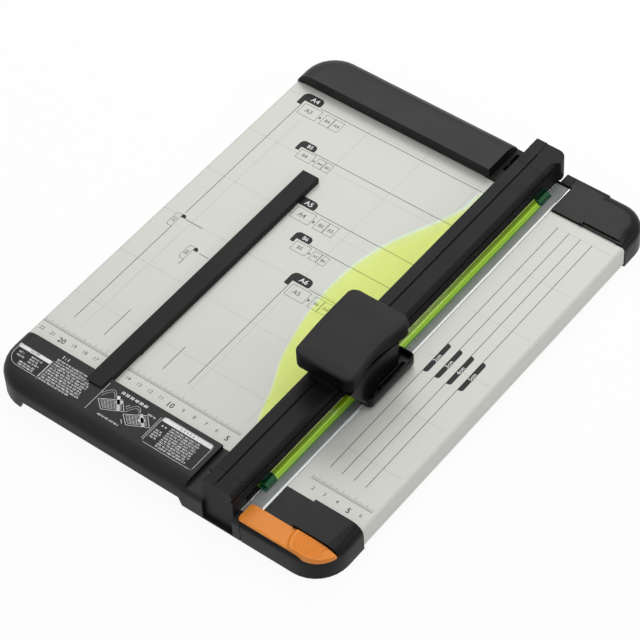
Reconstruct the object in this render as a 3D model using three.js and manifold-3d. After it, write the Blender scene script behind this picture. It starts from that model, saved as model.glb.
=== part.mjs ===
// A desk trimmer that cuts paper with a small disc blade. The blade rides in a carriage on a hinged rail.
// Sizes are in millimetres. X runs right across the cut, Y runs back along it, and Z is up.
// Places are measured from the cut line in X, from the front fence in Y and from the deck's top in Z.
import * as THREE from "three";
import { mergeVertices } from "three/addons/utils/BufferGeometryUtils.js";
import Module from "manifold-3d";

// Overall layout
const reachLeft = 229;
const reachRight = 71;
const reachFront = 44;
const deckHeight = 20;
const deckLength = 311;
const rearCapDepth = 38;
const reachRear = deckLength + rearCapDepth;

// Gaps and shared sizes
const fit = 0.3;
const slide = 0.5;
const overrun = 1;
const wall = 2.2;
const roundSteps = 8;
const turnSteps = 24;
const smallTurnSteps = 12;
const wireSides = 3;

// Deck sheets, folded down at their outer sides and tucked under the end caps
const sheet = 1.2;
const deckInset = 0.5;
const deckSkirt = 16;
const bendRadius = 3;
const tuck = 16;
const tuckSideGap = 7;

// Cutting mat and the channel that carries it
const matLeft = 5.7;
const matRight = 4.9;
const matThickness = 2.3;
const matFrontInset = 10;
const matFront = reachFront - matFrontInset;
const matOverDeck = 25.7;
const matRear = deckLength + matOverDeck;
const matEdge = 0.4;
const troughWall = 1;
const troughFloor = 1.6;
const troughLip = 0.4;
const ledgeReach = 12;
const ledgeThickness = 1.5;
const legHeight = 10;
const legThickness = 1.5;
const legFoot = 5;

// End caps
const skirtGap = 0.8;
const capBelly = 4;
const frontLeftTop = 4;
const frontLeftRadius = 30;
const frontLeftShoulder = 11;
const frontRightTop = 4.5;
const frontRightLow = 0.6;
const frontRightStep = 31;
const frontRightRadius = 27;
const frontRightShoulder = 9;
const rearLeftTop = 10;
const rearLeftRadius = 29;
const rearLeftShoulder = 14;
const rearRightTop = 3;
const rearRightLow = 2;
const rearRightRadius = 24;
const rearRightShoulder = 10;
const rearRightNotch = 2.3;
const rearRightNotchDepth = 1.4;
const saddleShoulder = 3;
const raisedEnd = 49;
const archRise = 7;
const archInset = 30;
const archSlope = 3;
const ribThickness = 1.6;
const ribPitch = 35;
const ribRise = 7;
const hiddenSkin = 2.4;
const capRoof = 2.5;
const keyHoleLength = 4;
const keyHoleWidth = 2.4;
const keyHoleX = 44;
const keyHoleY = 21;

// Feet and the screws that hold the deck sheets to the caps
const footRadius = 6.5;
const footThickness = 2.2;
const footEdge = 0.6;
const footPadRim = 1.5;
const footPadThickness = 2.5;
const footPostRadius = 3.5;
const footInset = 23;
const footInnerX = 62;
const screwRadius = 1.2;
const screwHeadRadius = 2.8;
const screwHeadHeight = 1.8;
const screwLength = 1.6;
const screwSlot = 0.7;
const screwSlotDepth = 0.8;
const rightScrewShares = [0.22, 0.8];
const tuckStepGap = 3;
const tuckEndGap = 9;

// Hinge at the rear
const hingeSetback = 25;
const hingeY = deckLength + hingeSetback;
const hingeDrop = 8;
const pinRadius = 2;
const pinInset = 1.5;
const pinLeft = raisedEnd - pinInset;
const pinRight = 1.6;
const pinEdge = 0.4;
const barrelRadius = 6;
const lugInset = 1.3;
const lugRightInset = 2.7;
const hingeWell = 1.6;
const hingeFloor = 2;
const springTurns = 5;
const springWire = 1.1;
const springRadius = 4.2;
const springPitch = 1.6;
const springLeg = 9;

// Rail
const railLeft = 32.3;
const railRight = 7.3;
const railTop = 22;
const railStep = 0.6;
const railBottom = 6;
const railWall = 2;
const railLip = 6;
const railLipThickness = 1.5;
const railEdge = 1.2;
const railRightEdge = 3;
const grooveX = 22.3;
const grooveWidth = 1.2;
const grooveDepth = 1.4;
const sideGrooveZ = 14;
const sideGrooveHeight = 2.4;
const sideGrooveDepth = 1;
const railFrontInset = 2.8;
const railFront = reachFront - railFrontInset;
const railRearInset = 1;
const railRear = reachRear - railRearInset;
const frontCapLength = 14;
const rearBlockLength = 26;
const capPlug = 8;
const capGrooveEnd = 4.5;
const panelThickness = 3;
const panelDrop = 17.3;
const panelTaper = 1;
const panelShelf = 0.7;
const rearBlockRight = 4;
const rearBlockRadius = 8;
const rearBlockWide = 10;
const rearBlockFloor = 2.7;

// Clamp plate under the rail: a straight strip on the right and a leaf on the left
const clampThickness = 2;
const clampRight = 1.5;
const clampFront = 12;
const clampOverDeck = 12;
const clampRear = deckLength + clampOverDeck;
const clampEdge = 1.3;
const clampFlat = 2.3;
const clampRibLeft = 8;
const clampRibWidth = 1.2;
const clampRibTop = 5.6;
const clampRibFront = 0;
const clampRibShort = 2;
const clampRibRear = deckLength - clampRibShort;
const leafReach = 79.5;
const leafLengthShares = [0.09, 0.115, 0.143, 0.215, 0.287, 0.358, 0.43, 0.52, 0.603, 0.693, 0.782, 0.857, 0.9, 0.925, 0.94];
const leafReachShares = [0.38, 0.51, 0.585, 0.692, 0.83, 0.912, 0.975, 1, 0.975, 0.88, 0.711, 0.592, 0.583, 0.53, 0.38];
const leafSteps = 40;
const spineInset = 1.3;
const headReach = 2;
const headThickness = 1.8;
const stopWidth = 5.2;
const stopHeight = 3.2;
const stopInset = 1.2;
const stopEdge = 0.6;

// Carriage
const carriageY = 100;
const shoeHalf = 29;
const shoeTop = 33.4;
const shoeFlare = 1.4;
const shoeRadius = 5;
const shoeRight = 5;
const flangeThickness = 2;
const flangeHalf = 22;
const flangeBottom = 9;
const plungerX = 18.5;
const plungerRadius = 7.4;
const plungerWall = 1.5;
const plungerReach = 7;
const wellFloor = 2.2;

// Blade cover beside the rail
const coverLeft = 4.4;
const coverRight = 13.5;
const coverFront = 16;
const coverRear = 37;
const coverBottom = 3;
const coverRadius = 5;
const coverRim = 8;
const coverRimThickness = 1.4;
const coverFloorThickness = 2.2;
const coverWaistRight = 5.4;
const coverWaistFlare = 1.7;
const coverWaistFront = 8.6;
const coverNoseRight = 11;
const coverWaistRound = 2.5;
const coverWaistLean = 15;
const coverWaistRear = 26;
const coverWall = 1.3;

// Handle knob and the parts that it carries
const knobLeft = 38.4;
const knobRight = 12;
const knobHalf = 35.6;
const knobTop = 50;
const knobHeight = 14.4;
const knobRadius = 7;
const knobWaist = 3.2;
const knobWaistDraft = 2;
const knobBulge = 0.8;
const knobSkew = 1.2;
const knobShoulder = 2.8;
const knobWall = 2;
const knobCeiling = 2.6;
const knobSideSteps = 7;
const waistSteps = 3;
const pressTravel = 3.5;
const holderThickness = 2.2;
const holderGap = 1.5;
const holderHalf = 8;
const holderTail = 5;
const coilWire = 1.1;
const coilRadius = 4.8;
const coilTurns = 6;

// Disc blade
const bladeRadius = 14;
const bladeThickness = 0.5;
const bladeBevel = 1.6;
const hubRadius = 5;
const hubHalf = 1.2;
const axleRadius = 1.8;
const axleHeadRadius = 3.2;
const axleHeadThickness = 0.9;

// Mat lock slider at the front right
const lockLeft = 3;
const lockRightInset = 1.4;
const lockRight = reachRight - lockRightInset;
const lockFrontInset = 2;
const lockFront = reachFront - lockFrontInset;
const lockDepth = 16.4;
const lockRear = lockFront - lockDepth;
const lockFlat = 1.7;
const lockCorner = 2.5;
const lockKeel = 1.7;
const lockGripTop = 3.7;
const lockTipTop = 1.2;
const lockTipRadius = 20;
const lockGripStart = 32;
const lockRibCount = 6;
const lockRibPitch = 4;
const lockRibDepth = 0.5;
const lockRibWidth = 1.6;
const lockRibStart = 3;

// Guide bar that lies on the deck and hooks over the front fence
const guideRight = 148.5;
const guideWidth = 15;
const guideRear = 235;
const guideHeight = 5;
const guideHook = 11;
const guideHookThickness = 0.9;
const guideEdge = 0.7;
const magnetRadius = 5;
const magnetThickness = 2.2;
const magnetShares = [0.2, 0.82];

// Colours
const blackPlastic = new THREE.MeshStandardMaterial({ color: 0x2f2f31, roughness: 0.62, metalness: 0 });
const blackRail = new THREE.MeshStandardMaterial({ color: 0x2b2b2e, roughness: 0.5, metalness: 0.2 });
const deckPaint = new THREE.MeshStandardMaterial({ color: 0xd6d7d1, roughness: 0.5, metalness: 0.3 });
const bareAluminium = new THREE.MeshStandardMaterial({ color: 0xd9dbdc, roughness: 0.35, metalness: 0.9 });
const greyMat = new THREE.MeshStandardMaterial({ color: 0x8b9096, roughness: 0.8, metalness: 0 });
const clearGreen = new THREE.MeshStandardMaterial({ color: 0xc8dc4a, roughness: 0.15, metalness: 0 });
const darkGreen = new THREE.MeshStandardMaterial({ color: 0x1d7a35, roughness: 0.2, metalness: 0 });
const orangePlastic = new THREE.MeshStandardMaterial({ color: 0xe8863a, roughness: 0.5, metalness: 0 });
const steel = new THREE.MeshStandardMaterial({ color: 0xb9bcc0, roughness: 0.3, metalness: 1 });
const rubber = new THREE.MeshStandardMaterial({ color: 0x1c1c1c, roughness: 0.9, metalness: 0 });

const wasm = await Module();
wasm.setup();

// Solids: a three.js geometry becomes a solid for cutting and joining, and goes back as a geometry.
function solidOf(geometry) {
  const bare = new THREE.BufferGeometry();
  const flat = geometry.index ? geometry.toNonIndexed() : geometry;
  bare.setAttribute("position", flat.getAttribute("position"));
  const merged = mergeVertices(bare);
  return new wasm.Manifold(
    new wasm.Mesh({
      numProp: 3,
      vertProperties: new Float32Array(merged.attributes.position.array),
      triVerts: new Uint32Array(merged.index.array),
    }),
  );
}

function geometryOf(solid) {
  const mesh = solid.getMesh();
  const geometry = new THREE.BufferGeometry();
  geometry.setAttribute("position", new THREE.BufferAttribute(mesh.vertProperties, 3));
  geometry.setIndex(new THREE.BufferAttribute(mesh.triVerts, 1));
  const facets = geometry.toNonIndexed();
  facets.computeVertexNormals();
  return facets;
}

const join = (...solids) => solids.reduce((sum, next) => sum.add(next));
const cut = (solid, ...tools) => tools.reduce((rest, tool) => rest.subtract(tool), solid);

// A box between two corners
function block(x0, x1, y0, y1, z0, z1) {
  const box = new THREE.BoxGeometry(x1 - x0, y1 - y0, z1 - z0);
  box.translate((x0 + x1) / 2, (y0 + y1) / 2, (z0 + z1) / 2);
  return solidOf(box);
}

function shapeOf(points) {
  return new THREE.Shape(points.map(([a, b]) => new THREE.Vector2(a, b)));
}

function extrusion(shape, depth) {
  return new THREE.ExtrudeGeometry(shape, { depth, bevelEnabled: false, curveSegments: roundSteps });
}

// An outline in X and Z, drawn out along Y
function alongY(shape, y0, y1) {
  const geometry = extrusion(shape, y1 - y0);
  geometry.rotateX(Math.PI / 2);
  geometry.translate(0, y1, 0);
  return solidOf(geometry);
}

// An outline in Y and Z, drawn out along X
function alongX(shape, x0, x1) {
  const geometry = extrusion(shape, x1 - x0);
  const turn = new THREE.Matrix4().makeBasis(
    new THREE.Vector3(0, 1, 0),
    new THREE.Vector3(0, 0, 1),
    new THREE.Vector3(1, 0, 0),
  );
  geometry.applyMatrix4(turn);
  geometry.translate(x0, 0, 0);
  return solidOf(geometry);
}

// An outline in X and Y, drawn out along Z
function alongZ(shape, z0, z1) {
  const geometry = extrusion(shape, z1 - z0);
  geometry.translate(0, 0, z0);
  return solidOf(geometry);
}

// A turned piece: pairs of radius and height, from the axis back to the axis or closed on themselves
function turned(profile, steps) {
  const points = profile.map(([radius, height]) => new THREE.Vector2(radius, height));
  return new THREE.LatheGeometry(points, steps);
}

function rod(radius, height, steps = turnSteps) {
  return turned([[0, 0], [radius, 0], [radius, height], [0, height]], steps);
}

function rodZ(x, y, z0, z1, radius, steps = turnSteps) {
  const geometry = rod(radius, z1 - z0, steps);
  geometry.rotateX(Math.PI / 2);
  geometry.translate(x, y, z0);
  return solidOf(geometry);
}

function rodX(y, z, x0, x1, radius, steps = turnSteps) {
  const geometry = rod(radius, x1 - x0, steps);
  geometry.rotateZ(-Math.PI / 2);
  geometry.translate(x0, y, z);
  return solidOf(geometry);
}

// Skins a stack of rings, each a list of points in the same order, and closes both ends
function loft(rings) {
  const count = rings[0].length;
  const positions = rings.flat(2);
  const index = [];
  for (let level = 0; level + 1 < rings.length; level += 1) {
    for (let i = 0; i < count; i += 1) {
      const a = level * count + i;
      const b = level * count + ((i + 1) % count);
      index.push(a, b, b + count, a, b + count, a + count);
    }
  }
  const top = (rings.length - 1) * count;
  for (let i = 1; i + 1 < count; i += 1) {
    index.push(0, i + 1, i);
    index.push(top, top + i, top + i + 1);
  }
  const geometry = new THREE.BufferGeometry();
  geometry.setAttribute("position", new THREE.Float32BufferAttribute(positions, 3));
  geometry.setIndex(index);
  return geometry;
}

// One ring of a rectangle with rounded corners. Radii go front left, front right, rear right, rear left.
function ring(x0, x1, y0, y1, z, radii) {
  const corners = [
    [x0, y0, 1, 1, Math.PI],
    [x1, y0, -1, 1, 1.5 * Math.PI],
    [x1, y1, -1, -1, 0],
    [x0, y1, 1, -1, 0.5 * Math.PI],
  ];
  const points = [];
  corners.forEach(([x, y, towardX, towardY, start], corner) => {
    const radius = radii[corner];
    const steps = radius > 0 ? roundSteps : 0;
    for (let i = 0; i <= steps; i += 1) {
      const angle = start + (steps ? ((Math.PI / 2) * i) / steps : 0);
      const middleX = x + towardX * radius;
      const middleY = y + towardY * radius;
      points.push([middleX + radius * Math.cos(angle), middleY + radius * Math.sin(angle), z]);
    }
  });
  return points;
}

// Rounded shoulders of the mouldings: share of the way up from belly to top, and share of the shoulder's inset
const shoulderShares = [[0, 0], [0.4, 0.1], [0.7, 0.3], [0.9, 0.6], [1, 1]];

// A moulded cap whose outer sides bend over into its top. Sides says which of the four sides bend.
function capBlock({ x0, x1, y0, y1, top, shoulder, sides, radii, shrink = 0, bottom = skirtGap - deckHeight }) {
  const belly = Math.min(-capBelly, top - capBelly);
  const levels = [[bottom, 0], [belly, 0]];
  for (const [rise, inset] of shoulderShares.slice(1)) {
    levels.push([belly + rise * (top - belly), inset * shoulder]);
  }
  const rings = levels.map(([z, inset]) => {
    const pull = inset + shrink;
    return ring(
      x0 + pull * sides.left,
      x1 - pull * sides.right,
      y0 + pull * sides.front,
      y1 - pull * sides.rear,
      z,
      radii.map((radius) => (radius > 0 ? Math.max(radius - pull, fit) : 0)),
    );
  });
  return solidOf(loft(rings));
}

// A round wire along a path, closed at both ends
function wire(points, radius, sides, steps) {
  const path = new THREE.CatmullRomCurve3(points.map((p) => new THREE.Vector3(...p)));
  const section = new THREE.Shape();
  section.absarc(0, 0, radius, 0, 2 * Math.PI, false);
  return new THREE.ExtrudeGeometry(section, { extrudePath: path, steps, curveSegments: sides, bevelEnabled: false });
}

const model = new THREE.Group();
model.name = "paper_trimmer";
model.position.set((reachLeft - reachRight) / 2, (reachFront - reachRear) / 2, deckHeight);

function add(name, material, made) {
  const geometry = made.isBufferGeometry ? made : geometryOf(made);
  const mesh = new THREE.Mesh(geometry, material);
  mesh.name = name;
  model.add(mesh);
  return mesh;
}

// Places that several pieces share
const tableZ = -deckHeight;
const capBottom = tableZ + skirtGap;
const troughLeft = -(matLeft + fit + troughWall);
const troughRight = matRight + fit + troughWall;
const troughTop = -(matThickness + fit);
const troughBottom = troughTop - troughFloor;
const slotLeft = troughLeft - fit;
const slotRight = troughRight + fit;
const slotFloor = troughBottom - fit;
const saddleRight = troughRight - troughWall - fit * 2;
const seamX = fit;
const tuckLeft = -(reachLeft - tuckSideGap);
const tuckRight = -(raisedEnd + capPlug / 2);
const rearFace = deckLength;
const rearTuck = rearFace + tuck;

// Deck sheets
function deckSection(inner, outer) {
  const side = Math.sign(outer);
  const shape = new THREE.Shape();
  const bendMiddle = outer - side * bendRadius;
  const clockwise = side > 0;
  const top = Math.PI / 2;
  const level = clockwise ? 0 : Math.PI;
  shape.moveTo(inner, 0);
  shape.lineTo(bendMiddle, 0);
  shape.absarc(bendMiddle, -bendRadius, bendRadius, top, level, clockwise);
  shape.lineTo(outer, -deckSkirt);
  shape.lineTo(outer - side * sheet, -deckSkirt);
  shape.lineTo(outer - side * sheet, -bendRadius);
  shape.absarc(bendMiddle, -bendRadius, bendRadius - sheet, level, top, !clockwise);
  shape.lineTo(inner, -sheet);
  shape.closePath();
  return shape;
}

const rightTuckStart = frontRightStep + tuckStepGap;
const rightTuckEnd = reachRight - tuckEndGap;

// The hollow of an end cap is divided by ribs into bays, and the screws stand in the bays, clear of the ribs
function bays(x0, x1) {
  const count = Math.max(1, Math.round((x1 - x0) / ribPitch));
  const pitch = (x1 - x0) / count;
  return Array.from({ length: count }, (_, i) => [x0 + pitch * i, x0 + pitch * (i + 1)]);
}
const middle = ([x0, x1]) => (x0 + x1) / 2;
const bayScrews = (all) => [all[0], all[Math.floor(all.length / 2)], all[all.length - 1]].map(middle);
const lastBayScrews = (all) => {
  const from = Math.max(all[all.length - 1][0], rightTuckStart);
  const to = Math.min(all[all.length - 1][1], rightTuckEnd);
  return rightScrewShares.map((share) => from + share * (to - from));
};
const rearSeamX = saddleRight + fit;
const frontLeftBays = bays(-reachLeft + wall, -raisedEnd - wall * 2);
const rearLeftBays = bays(-reachLeft + wall, -raisedEnd - wall);
const frontRightBays = bays(seamX + wall, reachRight - wall);
const rearRightBays = bays(rearSeamX + wall, reachRight - wall);
const screwRows = [-tuck / 2, rearFace + tuck / 2];
const leftScrewXs = [bayScrews(frontLeftBays), bayScrews(rearLeftBays)];
const rightScrewXs = [lastBayScrews(frontRightBays), lastBayScrews(rearRightBays)];

function tucked(body, x0, x1, screwXs) {
  const front = block(x0, x1, -tuck, slide + overrun, -sheet, 0);
  const rear = block(x0, x1, rearFace - slide - overrun, rearTuck, -sheet, 0);
  const holes = screwRows.flatMap((y, row) =>
    screwXs[row].map((x) => rodZ(x, y, -sheet - overrun, overrun, screwRadius + slide, smallTurnSteps)),
  );
  return cut(join(body, front, rear), ...holes);
}

const deckLeftBody = alongY(deckSection(slotLeft, -(reachLeft - deckInset)), fit, rearFace - fit);
const deckRightBody = alongY(deckSection(slotRight, reachRight - deckInset), fit, rearFace - fit);
add("deck_left", deckPaint, tucked(deckLeftBody, tuckLeft, tuckRight, leftScrewXs));
add("deck_right", deckPaint, tucked(deckRightBody, rightTuckStart, rightTuckEnd, rightScrewXs));

// Mat channel: a shallow trough that runs the whole cut, and a beam below it between the caps
const troughSection = shapeOf([
  [troughLeft, 0],
  [troughLeft, troughBottom],
  [troughRight, troughBottom],
  [troughRight, troughLip],
  [troughRight - troughWall, troughLip],
  [troughRight - troughWall, troughTop],
  [troughLeft + troughWall, troughTop],
  [troughLeft + troughWall, 0],
]);
const ledgeTop = -(sheet + fit);
const ledgeBottom = ledgeTop - ledgeThickness;
const legBottom = ledgeBottom - legHeight;
const beamLeft = troughLeft - ledgeReach;
const beamRight = troughRight + ledgeReach;
const legInset = (ledgeReach - legFoot) / 2;
function legSection(foot, side) {
  const inner = foot + side * legThickness;
  return [
    block(Math.min(foot, inner), Math.max(foot, inner), fit, rearFace - fit, legBottom, ledgeTop),
    block(
      Math.min(foot, foot - side * legFoot),
      Math.max(foot, foot - side * legFoot) + (side > 0 ? legThickness : 0),
      fit,
      rearFace - fit,
      legBottom,
      legBottom + legThickness,
    ),
  ];
}
const beam = join(
  block(beamLeft, troughLeft + troughWall, fit, rearFace - fit, ledgeBottom, ledgeTop),
  block(troughRight - troughWall, beamRight, fit, rearFace - fit, ledgeBottom, ledgeTop),
  ...legSection(beamLeft + legInset, 1),
  ...legSection(beamRight - legInset - legThickness, 1),
);
const lipNotch = block(
  troughRight - troughWall - overrun,
  troughRight + overrun,
  -matFront - overrun,
  -lockRear + slide,
  0,
  troughLip + overrun,
);
add("mat_channel", bareAluminium, cut(join(alongY(troughSection, -matFront, matRear + fit), beam), lipNotch));

const matSection = shapeOf([
  [-matLeft, -matThickness],
  [matRight, -matThickness],
  [matRight, -matEdge],
  [matRight - matEdge, 0],
  [-matLeft + matEdge, 0],
  [-matLeft, -matEdge],
]);
add("cutting_mat", greyMat, alongY(matSection, -matFront + fit, matRear));

// Feet: each sits under a boss inside an end cap
const feet = {
  foot_front_left: [-(reachLeft - footInset), -(reachFront - footInset)],
  foot_front_middle: [-footInnerX, -(reachFront - footInset)],
  foot_front_right: [reachRight - footInset, -(reachFront - footInset)],
  foot_rear_left: [-(reachLeft - footInset), (rearFace + reachRear) / 2],
  foot_rear_middle: [-footInnerX, (rearFace + reachRear) / 2],
  foot_rear_right: [reachRight - footInset, (rearFace + reachRear) / 2],
};
const footProfile = [
  [0, 0],
  [footRadius - footEdge, 0],
  [footRadius, footEdge],
  [footRadius, footThickness],
  [0, footThickness],
];
for (const [name, [x, y]] of Object.entries(feet)) {
  const geometry = turned(footProfile, turnSteps);
  geometry.rotateX(Math.PI / 2);
  geometry.translate(x, y, tableZ);
  add(name, rubber, solidOf(geometry));
}
const bossBottom = tableZ + footThickness + fit;
function footBosses(names, top) {
  return names.flatMap((name) => {
    const [x, y] = feet[name];
    return [
      rodZ(x, y, bossBottom, bossBottom + footPadThickness, footRadius + footPadRim),
      rodZ(x, y, bossBottom + footPadThickness / 2, top, footPostRadius, smallTurnSteps),
    ];
  });
}
function footWells(names) {
  return names.map((name) => {
    const [x, y] = feet[name];
    return rodZ(x, y, tableZ - overrun, bossBottom, footRadius + fit);
  });
}

// Screws that clamp a tucked sheet up against the cap above it
const screwTop = -(sheet + fit);
const screwSlotCut = block(
  -screwHeadRadius - overrun,
  screwHeadRadius + overrun,
  -screwSlot / 2,
  screwSlot / 2,
  -screwHeadHeight - overrun,
  -screwHeadHeight + screwSlotDepth,
);
const screwProfile = [
  [0, -screwHeadHeight],
  [screwHeadRadius - footEdge, -screwHeadHeight],
  [screwHeadRadius, -screwHeadHeight + footEdge],
  [screwHeadRadius, 0],
  [screwRadius, 0],
  [screwRadius, -screwTop + screwLength],
  [0, -screwTop + screwLength],
];
function deckScrew(name, x, y) {
  const geometry = turned(screwProfile, smallTurnSteps);
  geometry.rotateX(Math.PI / 2);
  const screw = cut(solidOf(geometry), screwSlotCut).translate([x, y, screwTop]);
  add(name, steel, screw);
}
function pilots(xs, y) {
  return xs.map((x) => rodZ(x, y, -sheet, screwLength + fit, screwRadius + fit, smallTurnSteps));
}
["front", "rear"].forEach((end, row) => {
  leftScrewXs[row].forEach((x, i) => deckScrew(`screw_${end}_left_${i + 1}`, x, screwRows[row]));
  rightScrewXs[row].forEach((x, i) => deckScrew(`screw_${end}_right_${i + 1}`, x, screwRows[row]));
});

// The slot that a tucked sheet slides into
function tuckSlot(x0, x1, y0, y1) {
  return block(x0 - fit, x1 + fit, y0, y1, -sheet - fit, fit);
}

// Ribs across a cap's hollow, from its wall to its wall
function ribs(between, y0, y1, z0, z1) {
  return between.slice(1).map(([x]) => block(x - ribThickness / 2, x + ribThickness / 2, y0, y1, z0, z1));
}

// Front left base: the raised panel, the low saddle that the rail's end drops into, and the front wall
const bentFrontLeft = { left: 1, right: 0, front: 1, rear: 0 };
const bentFront = { left: 0, right: 0, front: 1, rear: 0 };
const pocketLeft = -(railLeft + slide);
const pocketRight = -(railRight - slide);
const pocketRear = -(railFront - panelThickness - panelTaper) + slide;
const pocketFloor = -(panelDrop + slide);
const frontLeftOuter = join(
  capBlock({
    x0: -reachLeft,
    x1: -raisedEnd,
    y0: -reachFront,
    y1: 0,
    top: frontLeftTop,
    shoulder: frontLeftShoulder,
    sides: bentFrontLeft,
    radii: [frontLeftRadius, 0, 0, 0],
  }),
  capBlock({
    x0: -raisedEnd - wall,
    x1: -seamX,
    y0: -reachFront,
    y1: 0,
    top: 0,
    shoulder: saddleShoulder,
    sides: bentFront,
    radii: [0, 0, 0, 0],
  }),
);
const frontLeftHollow = capBlock({
  x0: -reachLeft,
  x1: -raisedEnd - wall * 2,
  y0: -reachFront,
  y1: -wall,
  top: fit,
  shoulder: frontLeftShoulder - wall,
  sides: bentFrontLeft,
  radii: [frontLeftRadius, 0, 0, 0],
  shrink: wall,
  bottom: tableZ - overrun,
});
const saddleHollow = block(
  -raisedEnd - wall * 2 - overrun,
  -seamX - wall,
  -reachFront + wall,
  -wall,
  tableZ - overrun,
  -hiddenSkin,
);
const pocketBlock = block(
  pocketLeft - wall,
  pocketRight + wall,
  -reachFront + wall / 2,
  pocketRear + wall,
  capBottom,
  -hiddenSkin + overrun,
);
const pocket = block(pocketLeft, pocketRight, -reachFront - overrun, pocketRear, pocketFloor, overrun);
const matShelfFront = block(slotLeft - wall, -seamX, -matFront - wall, -wall / 2, slotFloor - wall, slotFloor + overrun);
const matSlotFront = block(slotLeft, slotRight, -matFront - fit, overrun, slotFloor, frontRightTop + overrun);
const archTop = capBottom + archRise;
const archLeft = -(reachLeft - archInset);
const archRight = -raisedEnd - wall;
const arch = alongY(
  shapeOf([
    [archLeft, capBottom - overrun],
    [archRight, capBottom - overrun],
    [archRight - archSlope, archTop],
    [archLeft + archSlope, archTop],
  ]),
  -reachFront - overrun,
  -reachFront + wall * 2,
);
const keyHole = block(
  -keyHoleX - keyHoleWidth / 2,
  -keyHoleX + keyHoleWidth / 2,
  -keyHoleY - keyHoleLength / 2,
  -keyHoleY + keyHoleLength / 2,
  -hiddenSkin - overrun,
  overrun,
);
const frontLeftRibs = ribs(
  frontLeftBays,
  -reachFront + wall / 2,
  -wall / 2,
  -deckHeight + ribRise,
  -(sheet + fit),
).map((rib) => rib.intersect(frontLeftOuter));
const frontLeftFeet = ["foot_front_left", "foot_front_middle"];
add(
  "front_left_base",
  blackPlastic,
  cut(
    join(
      cut(frontLeftOuter, frontLeftHollow, saddleHollow),
      pocketBlock,
      matShelfFront,
      ...frontLeftRibs,
      ...footBosses(frontLeftFeet, fit + overrun),
    ),
    pocket,
    matSlotFront,
    arch,
    keyHole,
    tuckSlot(tuckLeft, tuckRight, -tuck - fit, overrun),
    ...footWells(frontLeftFeet),
    ...pilots(leftScrewXs[0], screwRows[0]),
  ),
);

// Front right cap, with the recess that the mat lock slides in
const bentFrontRight = { left: 0, right: 1, front: 1, rear: 0 };
const recessFloor = -(lockKeel + fit);
const recessFront = -(lockFront + fit);
const recessRear = -(lockRear - fit);
const frontRightOuter = join(
  capBlock({
    x0: seamX,
    x1: frontRightStep + wall,
    y0: -reachFront,
    y1: 0,
    top: frontRightLow,
    shoulder: saddleShoulder,
    sides: bentFront,
    radii: [0, 0, 0, 0],
  }),
  capBlock({
    x0: frontRightStep,
    x1: reachRight,
    y0: -reachFront,
    y1: 0,
    top: frontRightTop,
    shoulder: frontRightShoulder,
    sides: bentFrontRight,
    radii: [0, frontRightRadius, 0, 0],
  }),
);
const hollowTop = recessFloor - hiddenSkin;
const frontRightHollow = capBlock({
  x0: seamX + wall,
  x1: reachRight,
  y0: -reachFront,
  y1: -wall,
  top: hollowTop,
  shoulder: 0,
  sides: bentFrontRight,
  radii: [0, frontRightRadius, 0, 0],
  shrink: wall,
  bottom: tableZ - overrun,
});
const domeHollow = block(
  frontRightStep,
  reachRight - frontRightShoulder,
  recessRear + wall,
  -wall,
  hollowTop - overrun,
  -(sheet + fit),
);
const flatRecess = block(
  -lockLeft - overrun,
  lockGripStart,
  recessFront,
  recessRear,
  0,
  frontRightTop + overrun,
);
const gripRecess = block(
  lockGripStart - slide * 2,
  reachRight + overrun,
  recessFront,
  recessRear,
  recessFloor,
  frontRightTop + overrun,
);
const matShelfRight = block(seamX, slotRight + wall, -matFront - wall, -wall / 2, slotFloor - wall, slotFloor + overrun);
const frontRightRibs = ribs(
  frontRightBays,
  -reachFront + wall / 2,
  -wall / 2,
  -deckHeight + ribRise,
  hollowTop + overrun,
).map((rib) => rib.intersect(frontRightOuter));
add(
  "front_right_cap",
  blackPlastic,
  cut(
    join(
      cut(frontRightOuter, frontRightHollow, domeHollow),
      matShelfRight,
      ...frontRightRibs,
      ...footBosses(["foot_front_right"], hollowTop + overrun),
    ),
    matSlotFront,
    flatRecess,
    gripRecess,
    tuckSlot(rightTuckStart, rightTuckEnd, -tuck - fit, overrun),
    ...footWells(["foot_front_right"]),
    ...pilots(rightScrewXs[0], screwRows[0]),
  ),
);

// Rear left cap
const bentRearLeft = { left: 1, right: 0, front: 0, rear: 1 };
const rearLeftOuter = capBlock({
  x0: -reachLeft,
  x1: -raisedEnd,
  y0: rearFace,
  y1: reachRear,
  top: rearLeftTop,
  shoulder: rearLeftShoulder,
  sides: bentRearLeft,
  radii: [0, 0, 0, rearLeftRadius],
});
const rearLeftHollow = capBlock({
  x0: -reachLeft,
  x1: -raisedEnd - wall,
  y0: rearFace + wall,
  y1: reachRear,
  top: rearLeftTop - capRoof,
  shoulder: rearLeftShoulder - capRoof,
  sides: bentRearLeft,
  radii: [0, 0, 0, rearLeftRadius],
  shrink: wall,
  bottom: tableZ - overrun,
});
const rearLeftRibs = ribs(
  rearLeftBays,
  rearFace + wall / 2,
  reachRear - wall / 2,
  -deckHeight + ribRise,
  rearLeftTop - capRoof / 2,
).map((rib) => rib.intersect(rearLeftOuter));
const rearLeftPosts = leftScrewXs[1].map((x) =>
  rodZ(x, screwRows[1], fit, rearLeftTop - capRoof / 2, screwRadius + wall, smallTurnSteps),
);
const rearLeftFeet = ["foot_rear_left", "foot_rear_middle"];
add(
  "rear_left_cap",
  blackPlastic,
  cut(
    join(
      cut(rearLeftOuter, rearLeftHollow),
      ...rearLeftRibs,
      ...rearLeftPosts,
      ...footBosses(rearLeftFeet, rearLeftTop - capRoof / 2),
    ),
    tuckSlot(tuckLeft, tuckRight, rearFace - overrun, rearTuck + fit),
    ...footWells(rearLeftFeet),
    ...pilots(leftScrewXs[1], screwRows[1]),
  ),
);

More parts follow.
